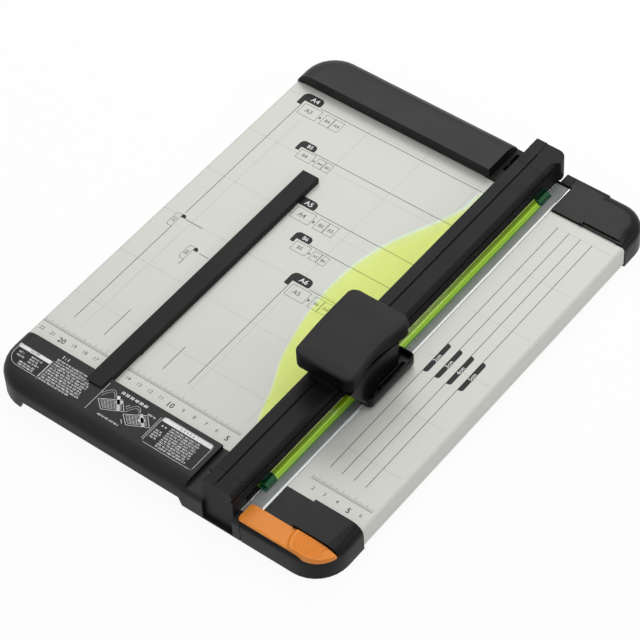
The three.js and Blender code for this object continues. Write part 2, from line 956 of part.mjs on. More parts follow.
// Rear right cap
const bentRear = { left: 0, right: 0, front: 0, rear: 1 };
const bentRearRight = { left: 0, right: 1, front: 0, rear: 1 };
const rearRightOuter = join(
  capBlock({
    x0: rearSeamX,
    x1: frontRightStep + wall,
    y0: rearFace,
    y1: reachRear,
    top: rearRightLow,
    shoulder: saddleShoulder,
    sides: bentRear,
    radii: [0, 0, 0, 0],
  }),
  capBlock({
    x0: frontRightStep,
    x1: reachRight,
    y0: rearFace,
    y1: reachRear,
    top: rearRightTop,
    shoulder: rearRightShoulder,
    sides: bentRearRight,
    radii: [0, 0, rearRightRadius, 0],
  }),
);
const rearRightHollow = capBlock({
  x0: rearSeamX + wall,
  x1: reachRight,
  y0: rearFace + wall,
  y1: reachRear,
  top: -(sheet + fit),
  shoulder: 0,
  sides: bentRearRight,
  radii: [0, 0, rearRightRadius, 0],
  shrink: wall,
  bottom: tableZ - overrun,
});
const matShelfRear = block(rearSeamX, slotRight + wall, rearFace + wall / 2, matRear + wall, slotFloor - wall, slotFloor + overrun);
const matSlotRear = block(slotLeft, slotRight, rearFace - overrun, matRear + fit * 2, slotFloor, rearRightTop + overrun);
const fingerNotch = block(
  frontRightStep + wall,
  reachRight - wall * 2,
  rearFace - overrun,
  rearFace + rearRightNotch,
  rearRightTop - rearRightNotchDepth,
  rearRightTop + overrun,
);
const rearRightRibs = ribs(
  rearRightBays,
  rearFace + wall / 2,
  reachRear - wall / 2,
  -deckHeight + ribRise,
  -sheet,
).map((rib) => rib.intersect(rearRightOuter));
add(
  "rear_right_cap",
  blackPlastic,
  cut(
    join(
      cut(rearRightOuter, rearRightHollow),
      matShelfRear,
      ...rearRightRibs,
      ...footBosses(["foot_rear_right"], -sheet),
    ),
    matSlotRear,
    fingerNotch,
    tuckSlot(rightTuckStart, rightTuckEnd, rearFace - overrun, rearTuck + fit),
    ...footWells(["foot_rear_right"]),
    ...pilots(rightScrewXs[1], screwRows[1]),
  ),
);

// Hinge block between the rear caps: a well for the rail's lug, and a pit for the lift spring
const hingeZ = -hingeDrop;
const lugLeft = -(railLeft - lugInset);
const lugRight = -(railRight + lugRightInset);
const wideWellLeft = -(railLeft + slide);
const wideWellRight = -(rearBlockRight - slide);
const wellZ = hingeZ - barrelRadius - slide;
const pitLeft = -pinLeft + hingeWell + fit;
const pitRight = wideWellLeft - hingeWell;
const hingeOuter = capBlock({
  x0: -raisedEnd + fit,
  x1: saddleRight,
  y0: rearFace,
  y1: reachRear,
  top: rearRightLow,
  shoulder: saddleShoulder,
  sides: bentRear,
  radii: [0, 0, 0, 0],
});
const wellFrontY = hingeY - barrelRadius - slide * 2;
const lugWell = block(lugLeft - slide, lugRight + slide, wellFrontY, reachRear + overrun, wellZ, rearRightLow + overrun);
const wideWell = block(
  wideWellLeft,
  wideWellRight,
  railRear - rearBlockWide - slide,
  reachRear + overrun,
  wellZ,
  rearRightLow + overrun,
);
const springPit = block(
  pitLeft,
  pitRight,
  hingeY - springLeg - springRadius,
  hingeY + springRadius + springWire + slide,
  hingeZ - springRadius - springWire - slide,
  rearRightLow + overrun,
);
const hingeHollow = block(
  -raisedEnd + fit + wall,
  saddleRight - wall,
  rearFace + wall,
  wellFrontY - wall,
  tableZ - overrun,
  hingeZ - springRadius - springWire - slide - hingeFloor,
);
add(
  "rear_hinge_block",
  blackPlastic,
  cut(
    hingeOuter,
    lugWell,
    wideWell,
    springPit,
    hingeHollow,
    matSlotRear,
    rodX(hingeY, hingeZ, -pinLeft - fit, -pinRight + fit, pinRadius + fit),
  ),
);

const pinLength = pinLeft - pinRight;
const pinGeometry = turned(
  [
    [0, 0],
    [pinRadius - pinEdge, 0],
    [pinRadius, pinEdge],
    [pinRadius, pinLength - pinEdge],
    [pinRadius - pinEdge, pinLength],
    [0, pinLength],
  ],
  turnSteps,
);
pinGeometry.rotateZ(-Math.PI / 2);
pinGeometry.translate(-pinLeft, hingeY, hingeZ);
add("hinge_pin", steel, solidOf(pinGeometry));

// Lift spring: turns about the pin, with one leg lying forward in the pit and one leg standing up
const springPoints = [];
const springSteps = 8;
const springStart = pitLeft + springWire;
springPoints.push([springStart, hingeY - springLeg, hingeZ - springRadius]);
for (let i = 0; i <= springTurns * springSteps; i += 1) {
  const turnShare = i / springSteps;
  const angle = -Math.PI / 2 + 2 * Math.PI * turnShare;
  springPoints.push([
    springStart + springPitch * turnShare,
    hingeY + springRadius * Math.cos(angle),
    hingeZ + springRadius * Math.sin(angle),
  ]);
}
springPoints.push([springStart + springPitch * springTurns, hingeY + springLeg / 2, hingeZ - springRadius]);
add(
  "lift_spring",
  steel,
  wire(springPoints, springWire / 2, wireSides, springPoints.length),
);

// Rail: a channel, open below, with a groove along its top and one along each side
const grooveLeft = -grooveX - grooveWidth / 2;
const grooveRight = -grooveX + grooveWidth / 2;
const railTopRight = railTop - railStep;

function railOutline(shape, bottom) {
  shape.moveTo(-railLeft, bottom);
  shape.lineTo(-railLeft, sideGrooveZ);
  shape.lineTo(-railLeft + sideGrooveDepth, sideGrooveZ);
  shape.lineTo(-railLeft + sideGrooveDepth, sideGrooveZ + sideGrooveHeight);
  shape.lineTo(-railLeft, sideGrooveZ + sideGrooveHeight);
  shape.lineTo(-railLeft, railTop - railEdge);
  shape.absarc(-railLeft + railEdge, railTop - railEdge, railEdge, Math.PI, Math.PI / 2, true);
  shape.lineTo(grooveLeft, railTop);
  shape.lineTo(grooveLeft, railTop - grooveDepth);
  shape.lineTo(grooveRight, railTop - grooveDepth);
  shape.lineTo(grooveRight, railTopRight);
  shape.lineTo(-railRight - railRightEdge, railTopRight);
  shape.absarc(-railRight - railRightEdge, railTopRight - railRightEdge, railRightEdge, Math.PI / 2, 0, true);
  shape.lineTo(-railRight, sideGrooveZ + sideGrooveHeight);
  shape.lineTo(-railRight - sideGrooveDepth, sideGrooveZ + sideGrooveHeight);
  shape.lineTo(-railRight - sideGrooveDepth, sideGrooveZ);
  shape.lineTo(-railRight, sideGrooveZ);
  shape.lineTo(-railRight, bottom);
}

const boreLeft = -railLeft + railWall;
const boreRight = -railRight - railWall;
const boreTop = railTop - grooveDepth - railWall;
const slotHalfLeft = -railLeft + railLip;
const slotHalfRight = -railRight - railLip;
const lipTop = railBottom + railLipThickness;
const railSection = new THREE.Shape();
railOutline(railSection, railBottom);
for (const [x, z] of [
  [slotHalfRight, railBottom],
  [slotHalfRight, lipTop],
  [boreRight, lipTop],
  [boreRight, boreTop],
  [boreLeft, boreTop],
  [boreLeft, lipTop],
  [slotHalfLeft, lipTop],
  [slotHalfLeft, railBottom],
]) {
  railSection.lineTo(x, z);
}
railSection.closePath();
const extrusionFront = -railFront + frontCapLength + fit;
const extrusionRear = railRear - rearBlockLength - fit;
add("rail_extrusion", blackRail, alongY(railSection, extrusionFront, extrusionRear));

// A moulded end with the rail's own outline
function railEnd(y0, y1, bottom) {
  const shape = new THREE.Shape();
  railOutline(shape, bottom);
  shape.closePath();
  return alongY(shape, y0, y1);
}
function railPlug(y0, y1) {
  return block(boreLeft + fit, boreRight - fit, y0, y1, lipTop + headThickness + fit * 4, boreTop - fit);
}

// Front end of the rail, with the panel that drops into the base's pocket
const frontCapRear = -railFront + frontCapLength;
const panel = alongX(
  shapeOf([
    [-railFront + panelTaper, railTop / 2],
    [-railFront, railTop / 2 - panelTaper],
    [-railFront, -panelDrop],
    [-railFront + panelThickness - panelTaper, -panelDrop],
    [-railFront + panelThickness, railBottom],
    [-railFront + panelThickness, railTop / 2],
  ]),
  -railLeft,
  -railRight,
);
const frontCapPlug = railPlug(frontCapRear - overrun, frontCapRear + capPlug);
const frontCapFill = block(
  -railLeft,
  -railRight,
  frontCapRear - overrun,
  frontCapRear,
  railTop - grooveDepth - railWall / 2,
  railTop - grooveDepth,
);
const frontGrooveStop = block(
  grooveLeft - overrun / 2,
  grooveRight + overrun / 2,
  -railFront,
  -railFront + capGrooveEnd,
  railTop - grooveDepth - overrun,
  railTopRight,
);
add(
  "rail_front_cap",
  blackPlastic,
  join(railEnd(-railFront, frontCapRear, panelShelf), panel, frontCapPlug, frontCapFill, frontGrooveStop),
);

// Rear end of the rail, with the lug that turns on the hinge pin
const rearBlockFront = railRear - rearBlockLength;
const wideFront = railRear - rearBlockWide;
const wideBlock = alongZ(
  (() => {
    const shape = new THREE.Shape();
    shape.moveTo(-railLeft, wideFront);
    shape.lineTo(-rearBlockRight - rearBlockRadius, wideFront - rearBlockRadius);
    shape.lineTo(-rearBlockRight, wideFront);
    shape.lineTo(-rearBlockRight, railRear - rearBlockRadius);
    shape.absarc(-rearBlockRight - rearBlockRadius, railRear - rearBlockRadius, rearBlockRadius, 0, Math.PI / 2, false);
    shape.lineTo(-railLeft, railRear);
    shape.closePath();
    return shape;
  })(),
  rearBlockFloor,
  railTopRight,
);
const lug = join(
  rodX(hingeY, hingeZ, lugLeft, lugRight, barrelRadius),
  block(lugLeft, lugRight, hingeY - barrelRadius, hingeY + barrelRadius, hingeZ, rearBlockFloor + overrun),
);
const backTrim = block(
  -rearBlockRight - rearBlockRadius,
  overrun,
  railRear - rearBlockRadius,
  railRear + overrun,
  rearBlockFloor - overrun,
  railTop + overrun,
);
const backRound = rodZ(
  -rearBlockRight - rearBlockRadius,
  railRear - rearBlockRadius,
  rearBlockFloor - overrun,
  railTop + overrun,
  rearBlockRadius,
  turnSteps,
);
const rearOutline = cut(join(railEnd(rearBlockFront, railRear, rearBlockFloor), wideBlock), cut(backTrim, backRound));
add(
  "rail_rear_block",
  blackPlastic,
  cut(
    join(rearOutline, lug, railPlug(rearBlockFront - capPlug, rearBlockFront + overrun)),
    rodX(hingeY, hingeZ, lugLeft - overrun, lugRight + overrun, pinRadius + fit),
  ),
);

// Clamp plate: leaf and strip in one sheet, a ramped rib along the cut, and a spine held in the rail
const clampBottom = fit;
const clampTop = clampBottom + clampThickness;
const clampLength = clampRear + clampFront;
const leafCurve = new THREE.SplineCurve(
  leafLengthShares.map(
    (share, i) => new THREE.Vector2(-leafReach * leafReachShares[i], -clampFront + share * clampLength),
  ),
);
const spineLeft = slotHalfLeft + spineInset;
const spineRight = slotHalfRight - spineInset;
const stripLeft = slotLeft + slide;
const leafShape = new THREE.Shape([
  new THREE.Vector2(-clampRight - clampFlat, -clampFront),
  new THREE.Vector2(-clampRight - clampFlat, clampRear),
  new THREE.Vector2(stripLeft, clampRear),
  new THREE.Vector2(stripLeft, rearFace - fit),
  new THREE.Vector2(slotHalfLeft, rearFace - fit),
  ...leafCurve.getPoints(leafSteps).reverse(),
  new THREE.Vector2(slotHalfLeft, -clampFront),
]);
const stripSection = shapeOf([
  [-clampRight - clampFlat - overrun, clampBottom],
  [-clampRight, clampBottom],
  [-clampRight, clampBottom + clampEdge],
  [-clampRight - clampFlat, clampTop],
  [-clampRight - clampFlat - overrun, clampTop],
]);
const rampSection = shapeOf([
  [-clampRibLeft, clampTop - overrun],
  [-clampRight - clampFlat, clampTop - overrun],
  [-clampRight - clampFlat, clampTop],
  [-clampRibLeft + clampRibWidth, clampRibTop],
  [-clampRibLeft, clampRibTop],
]);
const headBottom = lipTop + fit;
const spineFront = extrusionFront + fit;
const spine = join(
  block(spineLeft, spineRight, 0, clampRibRear, clampTop - overrun, headBottom + overrun),
  block(spineLeft - headReach, spineRight + headReach, 0, clampRibRear, headBottom, headBottom + headThickness),
);
add(
  "clamp_plate",
  clearGreen,
  join(
    alongZ(leafShape, clampBottom, clampTop),
    alongY(stripSection, -clampFront, clampRear),
    alongY(rampSection, clampRibFront, clampRibRear),
    spine,
  ),
);
const stopLeft = -clampRibLeft + stopInset / 2;
const stopSection = shapeOf([
  [stopLeft, clampTop + fit],
  [stopLeft + stopWidth, clampTop + fit],
  [stopLeft + stopWidth, clampTop + fit + stopEdge],
  [stopLeft + stopWidth - stopEdge * 3, clampTop + fit + stopHeight],
  [stopLeft, clampTop + fit + stopHeight],
]);
add(
  "clamp_stop_front",
  darkGreen,
  alongY(stopSection, -clampFront + stopInset, clampRibFront - fit),
);
add(
  "clamp_stop_rear",
  darkGreen,
  alongY(stopSection, clampRibRear + fit, clampRear - stopInset),
);

// Carriage shoe: it sits on the rail and grips the grooves in the rail's sides
const shoeFront = carriageY - shoeHalf;
const shoeBack = carriageY + shoeHalf;
const shoeBottom = railTop + fit;
const shoeLeft = -railLeft;
const shoeSide = -shoeRight;
const shoeRadii = [shoeRadius, shoeRadius, shoeRadius, shoeRadius];
const shoeBody = solidOf(
  loft([
    ring(shoeLeft, shoeSide, shoeFront, shoeBack, shoeBottom, shoeRadii),
    ring(shoeLeft, shoeSide, shoeFront, shoeBack, (shoeBottom + shoeTop) / 2, shoeRadii),
    ring(shoeLeft - shoeFlare, shoeSide, shoeFront - shoeFlare, shoeBack + shoeFlare, shoeTop, shoeRadii),
  ]),
);
const flangeFront = carriageY - flangeHalf;
const flangeBack = carriageY + flangeHalf;
const leftFlange = join(
  block(
    -railLeft - slide - flangeThickness,
    -railLeft - slide,
    flangeFront,
    flangeBack,
    flangeBottom,
    shoeTop - railLipThickness,
  ),
  block(
    -railLeft - slide - overrun,
    -railLeft + sideGrooveDepth - slide,
    flangeFront,
    flangeBack,
    sideGrooveZ + slide,
    sideGrooveZ + sideGrooveHeight - slide,
  ),
  block(
    -railLeft - slide - flangeThickness,
    -railLeft + overrun,
    flangeFront,
    flangeBack,
    shoeBottom,
    shoeTop - railLipThickness,
  ),
);
const rightFlange = join(
  block(-railRight + slide, shoeSide, flangeFront, flangeBack, flangeBottom, shoeTop - railLipThickness),
  block(
    -railRight - sideGrooveDepth + slide,
    -railRight + slide + overrun,
    flangeFront,
    flangeBack,
    sideGrooveZ + slide,
    sideGrooveZ + sideGrooveHeight - slide,
  ),
);
const plungerWell = rodZ(
  -plungerX,
  carriageY,
  shoeBottom + wellFloor,
  shoeTop + overrun,
  plungerRadius + slide,
);
add("carriage_shoe", blackPlastic, cut(join(shoeBody, leftFlange, rightFlange), plungerWell));

// Blade cover: a low open tub on the right, and a waist that rises to the knob
const coverFrontY = carriageY - coverFront;
const coverRearY = carriageY + coverRear;
const coverTopZ = knobTop - knobHeight - pressTravel - fit;
const coverRadii = [coverRadius / 2, coverRadius, coverRadius, coverRadius / 2];
const rimZ = coverBottom + coverRim;
const floorZ = coverBottom + coverFloorThickness;
const waistRearY = carriageY + coverWaistRear;
const tub = solidOf(
  loft([
    ring(-coverLeft, coverRight, coverFrontY, coverRearY, coverBottom, coverRadii),
    ring(-coverLeft, coverRight, coverFrontY, coverRearY, rimZ, coverRadii),
  ]),
);
const troughRadii = coverRadii.map((radius) => radius - coverRimThickness / 2);
const tubTrough = solidOf(
  loft([
    ring(
      -coverLeft + coverRimThickness,
      coverRight - coverRimThickness,
      coverFrontY + coverRimThickness,
      coverRearY - coverRimThickness,
      floorZ,
      troughRadii,
    ),
    ring(
      -coverLeft + coverRimThickness,
      coverRight - coverRimThickness,
      coverFrontY + coverRimThickness,
      coverRearY - coverRimThickness,
      rimZ + overrun,
      troughRadii,
    ),
  ]),
);
// One outline of the waist: hollowed on the right, and leaning forward to the knob as it rises
function waistRing(share) {
  const z = floorZ - overrun + share * (coverTopZ - floorZ + overrun);
  const front = coverFrontY + overrun / 2 - coverWaistLean * share;
  const noseRight = coverWaistFront + (coverNoseRight - coverWaistFront) * (1 - share) ** 2;
  const rearRight = coverWaistRight + coverWaistFlare;
  const points = [[-coverLeft, front, z]];
  for (let i = 0; i <= waistSteps; i += 1) {
    const angle = -Math.PI / 2 + ((Math.PI / 2) * i) / waistSteps;
    points.push([
      noseRight - coverWaistRound * (1 - Math.cos(angle)),
      front + coverWaistRound * (1 + Math.sin(angle)),
      z,
    ]);
  }
  for (let i = 1; i <= waistSteps * 3; i += 1) {
    const along = i / (waistSteps * 3);
    const y = front + coverWaistRound + (waistRearY - front - coverWaistRound) * along;
    const fromMiddle = (along - 0.5) * 2;
    const reach = fromMiddle < 0 ? noseRight : rearRight;
    points.push([coverWaistRight + (reach - coverWaistRight) * fromMiddle ** 2, y, z]);
  }
  points.push([-coverLeft, waistRearY, z]);
  return points;
}
const waist = solidOf(loft([0, 0.2, 0.45, 0.7, 1].map(waistRing)));
const bladeRoom = block(
  -coverLeft + coverWall,
  coverWaistRight - coverWall,
  carriageY - bladeRadius - overrun / 2,
  carriageY + bladeRadius + overrun / 2,
  coverBottom - overrun,
  coverTopZ + overrun,
);
const stopRoom = block(
  -coverLeft - overrun,
  -clampRibLeft + stopInset / 2 + stopWidth + slide,
  coverFrontY - overrun,
  coverRearY + overrun,
  coverBottom - overrun,
  clampBottom + clampThickness + fit + stopHeight + slide,
);
add("blade_cover", blackPlastic, cut(join(cut(tub, tubTrough), waist), bladeRoom, stopRoom));

// Knob: a rounded block with a waisted right side, hollow inside
const knobMiddle = (knobRight - knobLeft) / 2;
const knobBottom = knobTop - knobHeight;
function knobRing(z, inset, steps = knobSideSteps) {
  const x0 = -knobLeft + inset;
  const x1 = knobRight - inset;
  const y0 = carriageY - knobHalf + inset;
  const y1 = carriageY + knobHalf - inset;
  const radius = Math.max(knobRadius - inset, fit);
  const corners = ring(x0, x1, y0, y1, z, [radius, radius, radius, radius]);
  const perCorner = roundSteps + 1;
  const points = [];
  for (let corner = 0; corner < 4; corner += 1) {
    const own = corners.slice(corner * perCorner, (corner + 1) * perCorner);
    const next = corners[((corner + 1) % 4) * perCorner];
    const last = own[own.length - 1];
    points.push(...own);
    for (let i = 1; i < steps; i += 1) {
      const share = i / steps;
      points.push([last[0] + (next[0] - last[0]) * share, last[1] + (next[1] - last[1]) * share, z]);
    }
  }
  return points.map(([x, y, height]) => {
    const along = (y - carriageY) / (knobHalf - inset);
    const swell = Math.cos((Math.min(Math.abs(along), 1) * Math.PI) / 2) ** 2;
    const side = (x - knobMiddle) / (knobRight - knobMiddle);
    const waist = knobWaist + knobWaistDraft * Math.min(1, (knobTop - height) / knobHeight);
    const shift = side > 0 ? -waist * swell * side : (knobBulge * swell + knobSkew * along) * side;
    return [x + shift, y, height];
  });
}
// Share of the way up, and share of the shoulder's inset: a straight wall, a small shoulder and a slight crown
const knobShares = [[0, 0.2], [0.06, 0], [0.76, 0], [0.85, 0.14], [0.91, 0.45], [0.94, 1], [0.975, 2.4], [1, 4.6]];
const knobOuter = loft(
  knobShares.map(([rise, inset]) => knobRing(knobBottom + rise * knobHeight, inset * knobShoulder)),
);
const knobHollow = loft([
  knobRing(knobBottom - overrun, knobWall),
  knobRing(knobTop - knobCeiling * 2, knobWall),
  knobRing(knobTop - knobCeiling, knobWall + knobCeiling / 2),
]);
const plungerBottom = knobBottom - plungerReach;
const plunger = rodZ(-plungerX, carriageY, plungerBottom, knobTop - knobCeiling / 2, plungerRadius);
const plungerBore = rodZ(
  -plungerX,
  carriageY,
  plungerBottom - overrun,
  knobTop - knobCeiling,
  plungerRadius - plungerWall,
);
add("knob", blackPlastic, cut(join(cut(solidOf(knobOuter), solidOf(knobHollow)), plunger), plungerBore));

// Press spring inside the knob's plunger
const coilBottom = shoeBottom + wellFloor + fit + coilWire / 2;
const coilTop = knobTop - knobCeiling - fit - coilWire / 2;
const coilPoints = [];
const coilSteps = 8;
for (let i = 0; i <= coilTurns * coilSteps; i += 1) {
  const share = i / (coilTurns * coilSteps);
  const angle = 2 * Math.PI * coilTurns * share;
  coilPoints.push([
    -plungerX + coilRadius * Math.cos(angle),
    carriageY + coilRadius * Math.sin(angle),
    coilBottom + share * (coilTop - coilBottom),
  ]);
}
add("press_spring", steel, wire(coilPoints, coilWire / 2, wireSides, coilPoints.length));

// Blade holder: an arm from the knob's roof down to the blade's axle
const bladeZ = bladeRadius + fit + pressTravel;
const holderLeft = holderGap;
const holderRight = holderGap + holderThickness;
const holderTopZ = knobTop - knobCeiling - fit;
const holderShape = new THREE.Shape();
holderShape.moveTo(carriageY - holderTail, bladeZ);
holderShape.absarc(carriageY, bladeZ, holderTail, Math.PI, 2 * Math.PI, false);
holderShape.lineTo(carriageY + holderHalf, bladeZ + bladeRadius);
holderShape.lineTo(carriageY + holderHalf, holderTopZ);
holderShape.lineTo(carriageY - holderHalf, holderTopZ);
holderShape.lineTo(carriageY - holderHalf, bladeZ + bladeRadius);
holderShape.closePath();
add(
  "blade_holder",
  blackPlastic,
  cut(
    alongX(holderShape, holderLeft, holderRight),
    rodX(carriageY, bladeZ, holderLeft - overrun, holderRight + overrun, axleRadius + fit),
  ),
);
const axleStart = -(hubHalf + fit + axleHeadThickness);
const axleLength = holderRight - axleStart;
const axleGeometry = turned(
  [
    [0, 0],
    [axleHeadRadius, 0],
    [axleHeadRadius, axleHeadThickness],
    [axleRadius, axleHeadThickness],
    [axleRadius, axleLength],
    [0, axleLength],
  ],
  turnSteps,
);
axleGeometry.rotateZ(-Math.PI / 2);
axleGeometry.translate(axleStart, carriageY, bladeZ);
add("blade_axle", steel, solidOf(axleGeometry));

// Disc blade with a bevelled edge, and the hub that it is fixed on
function turnedAboutBlade(profile, steps) {
  const geometry = turned(profile, steps);
  geometry.rotateZ(-Math.PI / 2);
  geometry.translate(0, carriageY, bladeZ);
  return solidOf(geometry);
}
const hubBore = axleRadius + fit;
const bladeBore = hubRadius - wall / 2;
add(
  "blade_disc",
  steel,
  turnedAboutBlade(
    [
      [bladeBore, -bladeThickness / 2],
      [bladeRadius - bladeBevel, -bladeThickness / 2],
      [bladeRadius, 0],
      [bladeRadius - bladeBevel, bladeThickness / 2],
      [bladeBore, bladeThickness / 2],
      [bladeBore, -bladeThickness / 2],
    ],
    turnSteps * 2,
  ),
);
const hubNeck = bladeBore - fit;
add(
  "blade_hub",
  darkGreen,
  turnedAboutBlade(
    [
      [hubBore, -hubHalf],
      [hubRadius, -hubHalf],
      [hubRadius, -bladeThickness / 2 - fit],
      [hubNeck, -bladeThickness / 2 - fit],
      [hubNeck, hubHalf],
      [hubBore, hubHalf],
      [hubBore, -hubHalf],
    ],
    turnSteps,
  ),
);

// Mat lock: a flat tongue over the mat's front end, and a ribbed grip that follows the cap's corner
const lockTongueShape = new THREE.Shape();
lockTongueShape.moveTo(-lockLeft + lockCorner, -lockFront);
lockTongueShape.lineTo(lockGripStart + overrun, -lockFront);
lockTongueShape.lineTo(lockGripStart + overrun, -lockRear);
lockTongueShape.lineTo(-lockLeft + lockCorner, -lockRear);
lockTongueShape.absarc(-lockLeft + lockCorner, -lockRear - lockCorner, lockCorner, Math.PI / 2, Math.PI, false);
lockTongueShape.absarc(-lockLeft + lockCorner, -lockFront + lockCorner, lockCorner, Math.PI, 1.5 * Math.PI, false);
lockTongueShape.closePath();
const gripOutline = new THREE.Shape();
const tipMiddleY = -lockFront + lockTipRadius;
const tipAngle = Math.asin((-lockRear - tipMiddleY) / lockTipRadius);
const tipMiddleX = lockRight - lockTipRadius * Math.cos(tipAngle);
gripOutline.moveTo(lockGripStart, -lockFront);
gripOutline.lineTo(tipMiddleX, -lockFront);
gripOutline.absarc(tipMiddleX, tipMiddleY, lockTipRadius, -Math.PI / 2, tipAngle, false);
gripOutline.lineTo(lockGripStart, -lockRear);
gripOutline.closePath();
const gripLength = lockRight - lockGripStart;
const gripTopCut = alongY(
  (() => {
    const shape = new THREE.Shape();
    shape.moveTo(lockGripStart - overrun, lockGripTop);
    shape.lineTo(lockGripStart + gripLength / 3, lockGripTop);
    shape.quadraticCurveTo(lockGripStart + gripLength * 0.75, lockGripTop, lockRight + overrun, lockTipTop);
    shape.lineTo(lockRight + overrun, lockGripTop + overrun * 2);
    shape.lineTo(lockGripStart - overrun, lockGripTop + overrun * 2);
    shape.closePath();
    return shape;
  })(),
  -lockFront - overrun,
  -lockRear + overrun,
);
const ribCuts = [];
for (let i = 0; i < lockRibCount; i += 1) {
  const x = lockGripStart + lockRibStart + i * lockRibPitch;
  ribCuts.push(
    block(
      x - lockRibWidth / 2,
      x + lockRibWidth / 2,
      -lockFront - overrun,
      -lockRear + overrun,
      lockGripTop - lockRibDepth,
      lockGripTop + overrun,
    ),
  );
}
const lockTongueTop = fit + lockFlat;
add(
  "mat_lock",
  orangePlastic,
  join(
    alongZ(lockTongueShape, fit, lockTongueTop),
    cut(alongZ(gripOutline, -lockKeel, lockGripTop + overrun), gripTopCut, ...ribCuts),
  ),
);

// Guide bar, with a thin hook over the front base and two magnets in its underside
const guideLeft = -(guideRight + guideWidth);
const guideTop = fit + guideHeight;
const guideSection = shapeOf([
  [guideLeft, fit],
  [-guideRight, fit],
  [-guideRight, guideTop - guideEdge],
  [-guideRight - guideEdge, guideTop],
  [guideLeft + guideEdge, guideTop],
  [guideLeft, guideTop - guideEdge],
]);
const magnetX = -(guideRight + guideWidth / 2);
const magnetYs = magnetShares.map((share) => share * guideRear);
const magnetTop = fit + magnetThickness + fit;
const guideHookPlate = block(
  guideLeft + guideEdge,
  -guideRight - guideEdge,
  -guideHook,
  overrun,
  guideTop - guideHookThickness,
  guideTop,
);
add(
  "guide_bar",
  blackPlastic,
  cut(
    join(alongY(guideSection, fit, guideRear), guideHookPlate),
    ...magnetYs.map((y) => rodZ(magnetX, y, 0, magnetTop, magnetRadius + fit)),
  ),
);
magnetYs.forEach((y, i) => {
  add(`guide_magnet_${i + 1}`, steel, rodZ(magnetX, y, fit, fit + magnetThickness, magnetRadius));
});

export default model;
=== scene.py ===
# %% [markdown]
# A desk paper cutter, dressed for its portrait.
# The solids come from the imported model: a low deck between black end caps, a hinged rail with a disc blade
# in a sliding carriage, and a clear clamp sheet that holds the paper.
# This lesson keeps those solids where they are. It gives them rounded edges and procedural finishes,
# replaces the pieces whose curves matter most, and adds what is printed on the real object.

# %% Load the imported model
import math

import bmesh
import bpy
from mathutils import Matrix, Vector


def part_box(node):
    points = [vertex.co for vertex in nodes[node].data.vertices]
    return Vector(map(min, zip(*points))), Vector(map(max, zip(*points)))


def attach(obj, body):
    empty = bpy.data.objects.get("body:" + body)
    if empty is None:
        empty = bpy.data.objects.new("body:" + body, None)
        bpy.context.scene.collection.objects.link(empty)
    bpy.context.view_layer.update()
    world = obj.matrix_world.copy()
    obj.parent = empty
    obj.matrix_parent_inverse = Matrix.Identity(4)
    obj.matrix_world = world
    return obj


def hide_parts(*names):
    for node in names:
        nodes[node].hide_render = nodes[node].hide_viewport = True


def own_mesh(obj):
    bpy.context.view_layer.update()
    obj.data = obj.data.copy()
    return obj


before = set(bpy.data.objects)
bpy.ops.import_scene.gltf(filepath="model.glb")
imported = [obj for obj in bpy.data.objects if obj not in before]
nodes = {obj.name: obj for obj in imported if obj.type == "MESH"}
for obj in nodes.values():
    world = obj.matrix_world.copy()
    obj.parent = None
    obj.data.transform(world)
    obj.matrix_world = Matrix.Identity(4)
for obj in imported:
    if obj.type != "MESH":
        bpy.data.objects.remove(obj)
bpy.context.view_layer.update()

# %% [markdown]
# The maker of a cutter measures everything from two lines: the cut and the front fence. The model's own
# frame starts at the middle of its footprint instead. One small helper turns the maker's millimetres into
# the model's metres, so every number below can be checked with a ruler on the real thing.

# %% Measure from the cut, the fence and the deck's top
cut_line = 79.0
front_fence = -152.5
deck_top = 20.0


def at(x, y, z=0.0):
    return Vector(((x + cut_line) / 1000, (y + front_fence) / 1000, (z + deck_top) / 1000))


def mm(length):
    return length / 1000


print("the cut meets the fence at", tuple(round(v, 4) for v in at(0, 0)))

# %% [markdown]
# The photograph was taken from the front left corner's side, high up and far away, with a long lens. The
# place, the turn and the lens below were solved from the paper corners printed on the deck, whose real
# sizes are known, so the camera needs no trial and error.

# %% Camera
camera_data = bpy.data.cameras.new("camera")
camera_data.lens = 160.95
camera_data.sensor_width = 36
camera_data.sensor_fit = "HORIZONTAL"
camera_data.clip_end = 50
scene = bpy.context.scene


def in_scene(name, data):
    made = bpy.data.objects.new(name, data)
    scene.collection.objects.link(made)
    return made


camera = in_scene("camera", camera_data)
right = Vector((0.78997, 0.61165, -0.04272))
up = Vector((-0.44131, 0.61557, 0.65293))
back = Vector((0.42566, -0.49694, 0.75622))
camera_turn = Matrix((right, up, back)).transposed().to_quaternion()
camera_place = Vector((0.87403, -1.02809, 1.55008))
camera.matrix_world = Matrix.LocRotScale(camera_place, camera_turn, None)
scene.camera = camera
print("camera", round(camera.location.length, 3), "m from the model")

# %% [markdown]
# The studio and every finish are trees of shader nodes. Such a tree reads best when each line says one
# thing, so small helpers add a node, set it and wire it. Most of them give back the socket that the next
# line needs.

# %% Helpers for shader nodes
def node(tree, kind, inputs=None, **settings):
    made = tree.nodes.new("ShaderNode" + kind)
    for key, value in settings.items():
        setattr(made, key, value)
    for socket, source in (inputs or {}).items():
        if hasattr(source, "is_output"):
            tree.links.new(source, made.inputs[socket])
        else:
            made.inputs[socket].default_value = source
    return made


def maths(tree, operation, *values):
    return node(tree, "Math", dict(enumerate(values)), operation=operation).outputs[0]


def rgb(red, green, blue):
    return (red, green, blue, 1.0)


# %% [markdown]
# A studio table for a small machine is a white sweep under large, soft lamps. Soft light has no hard
# shadows, so black mouldings show their shape only by what they reflect.
# The lamps below are broad and weak. The white background isn't made by more light: the world and the floor
# show white to the camera, to reflections and through glass, and keep their true level for everything else.

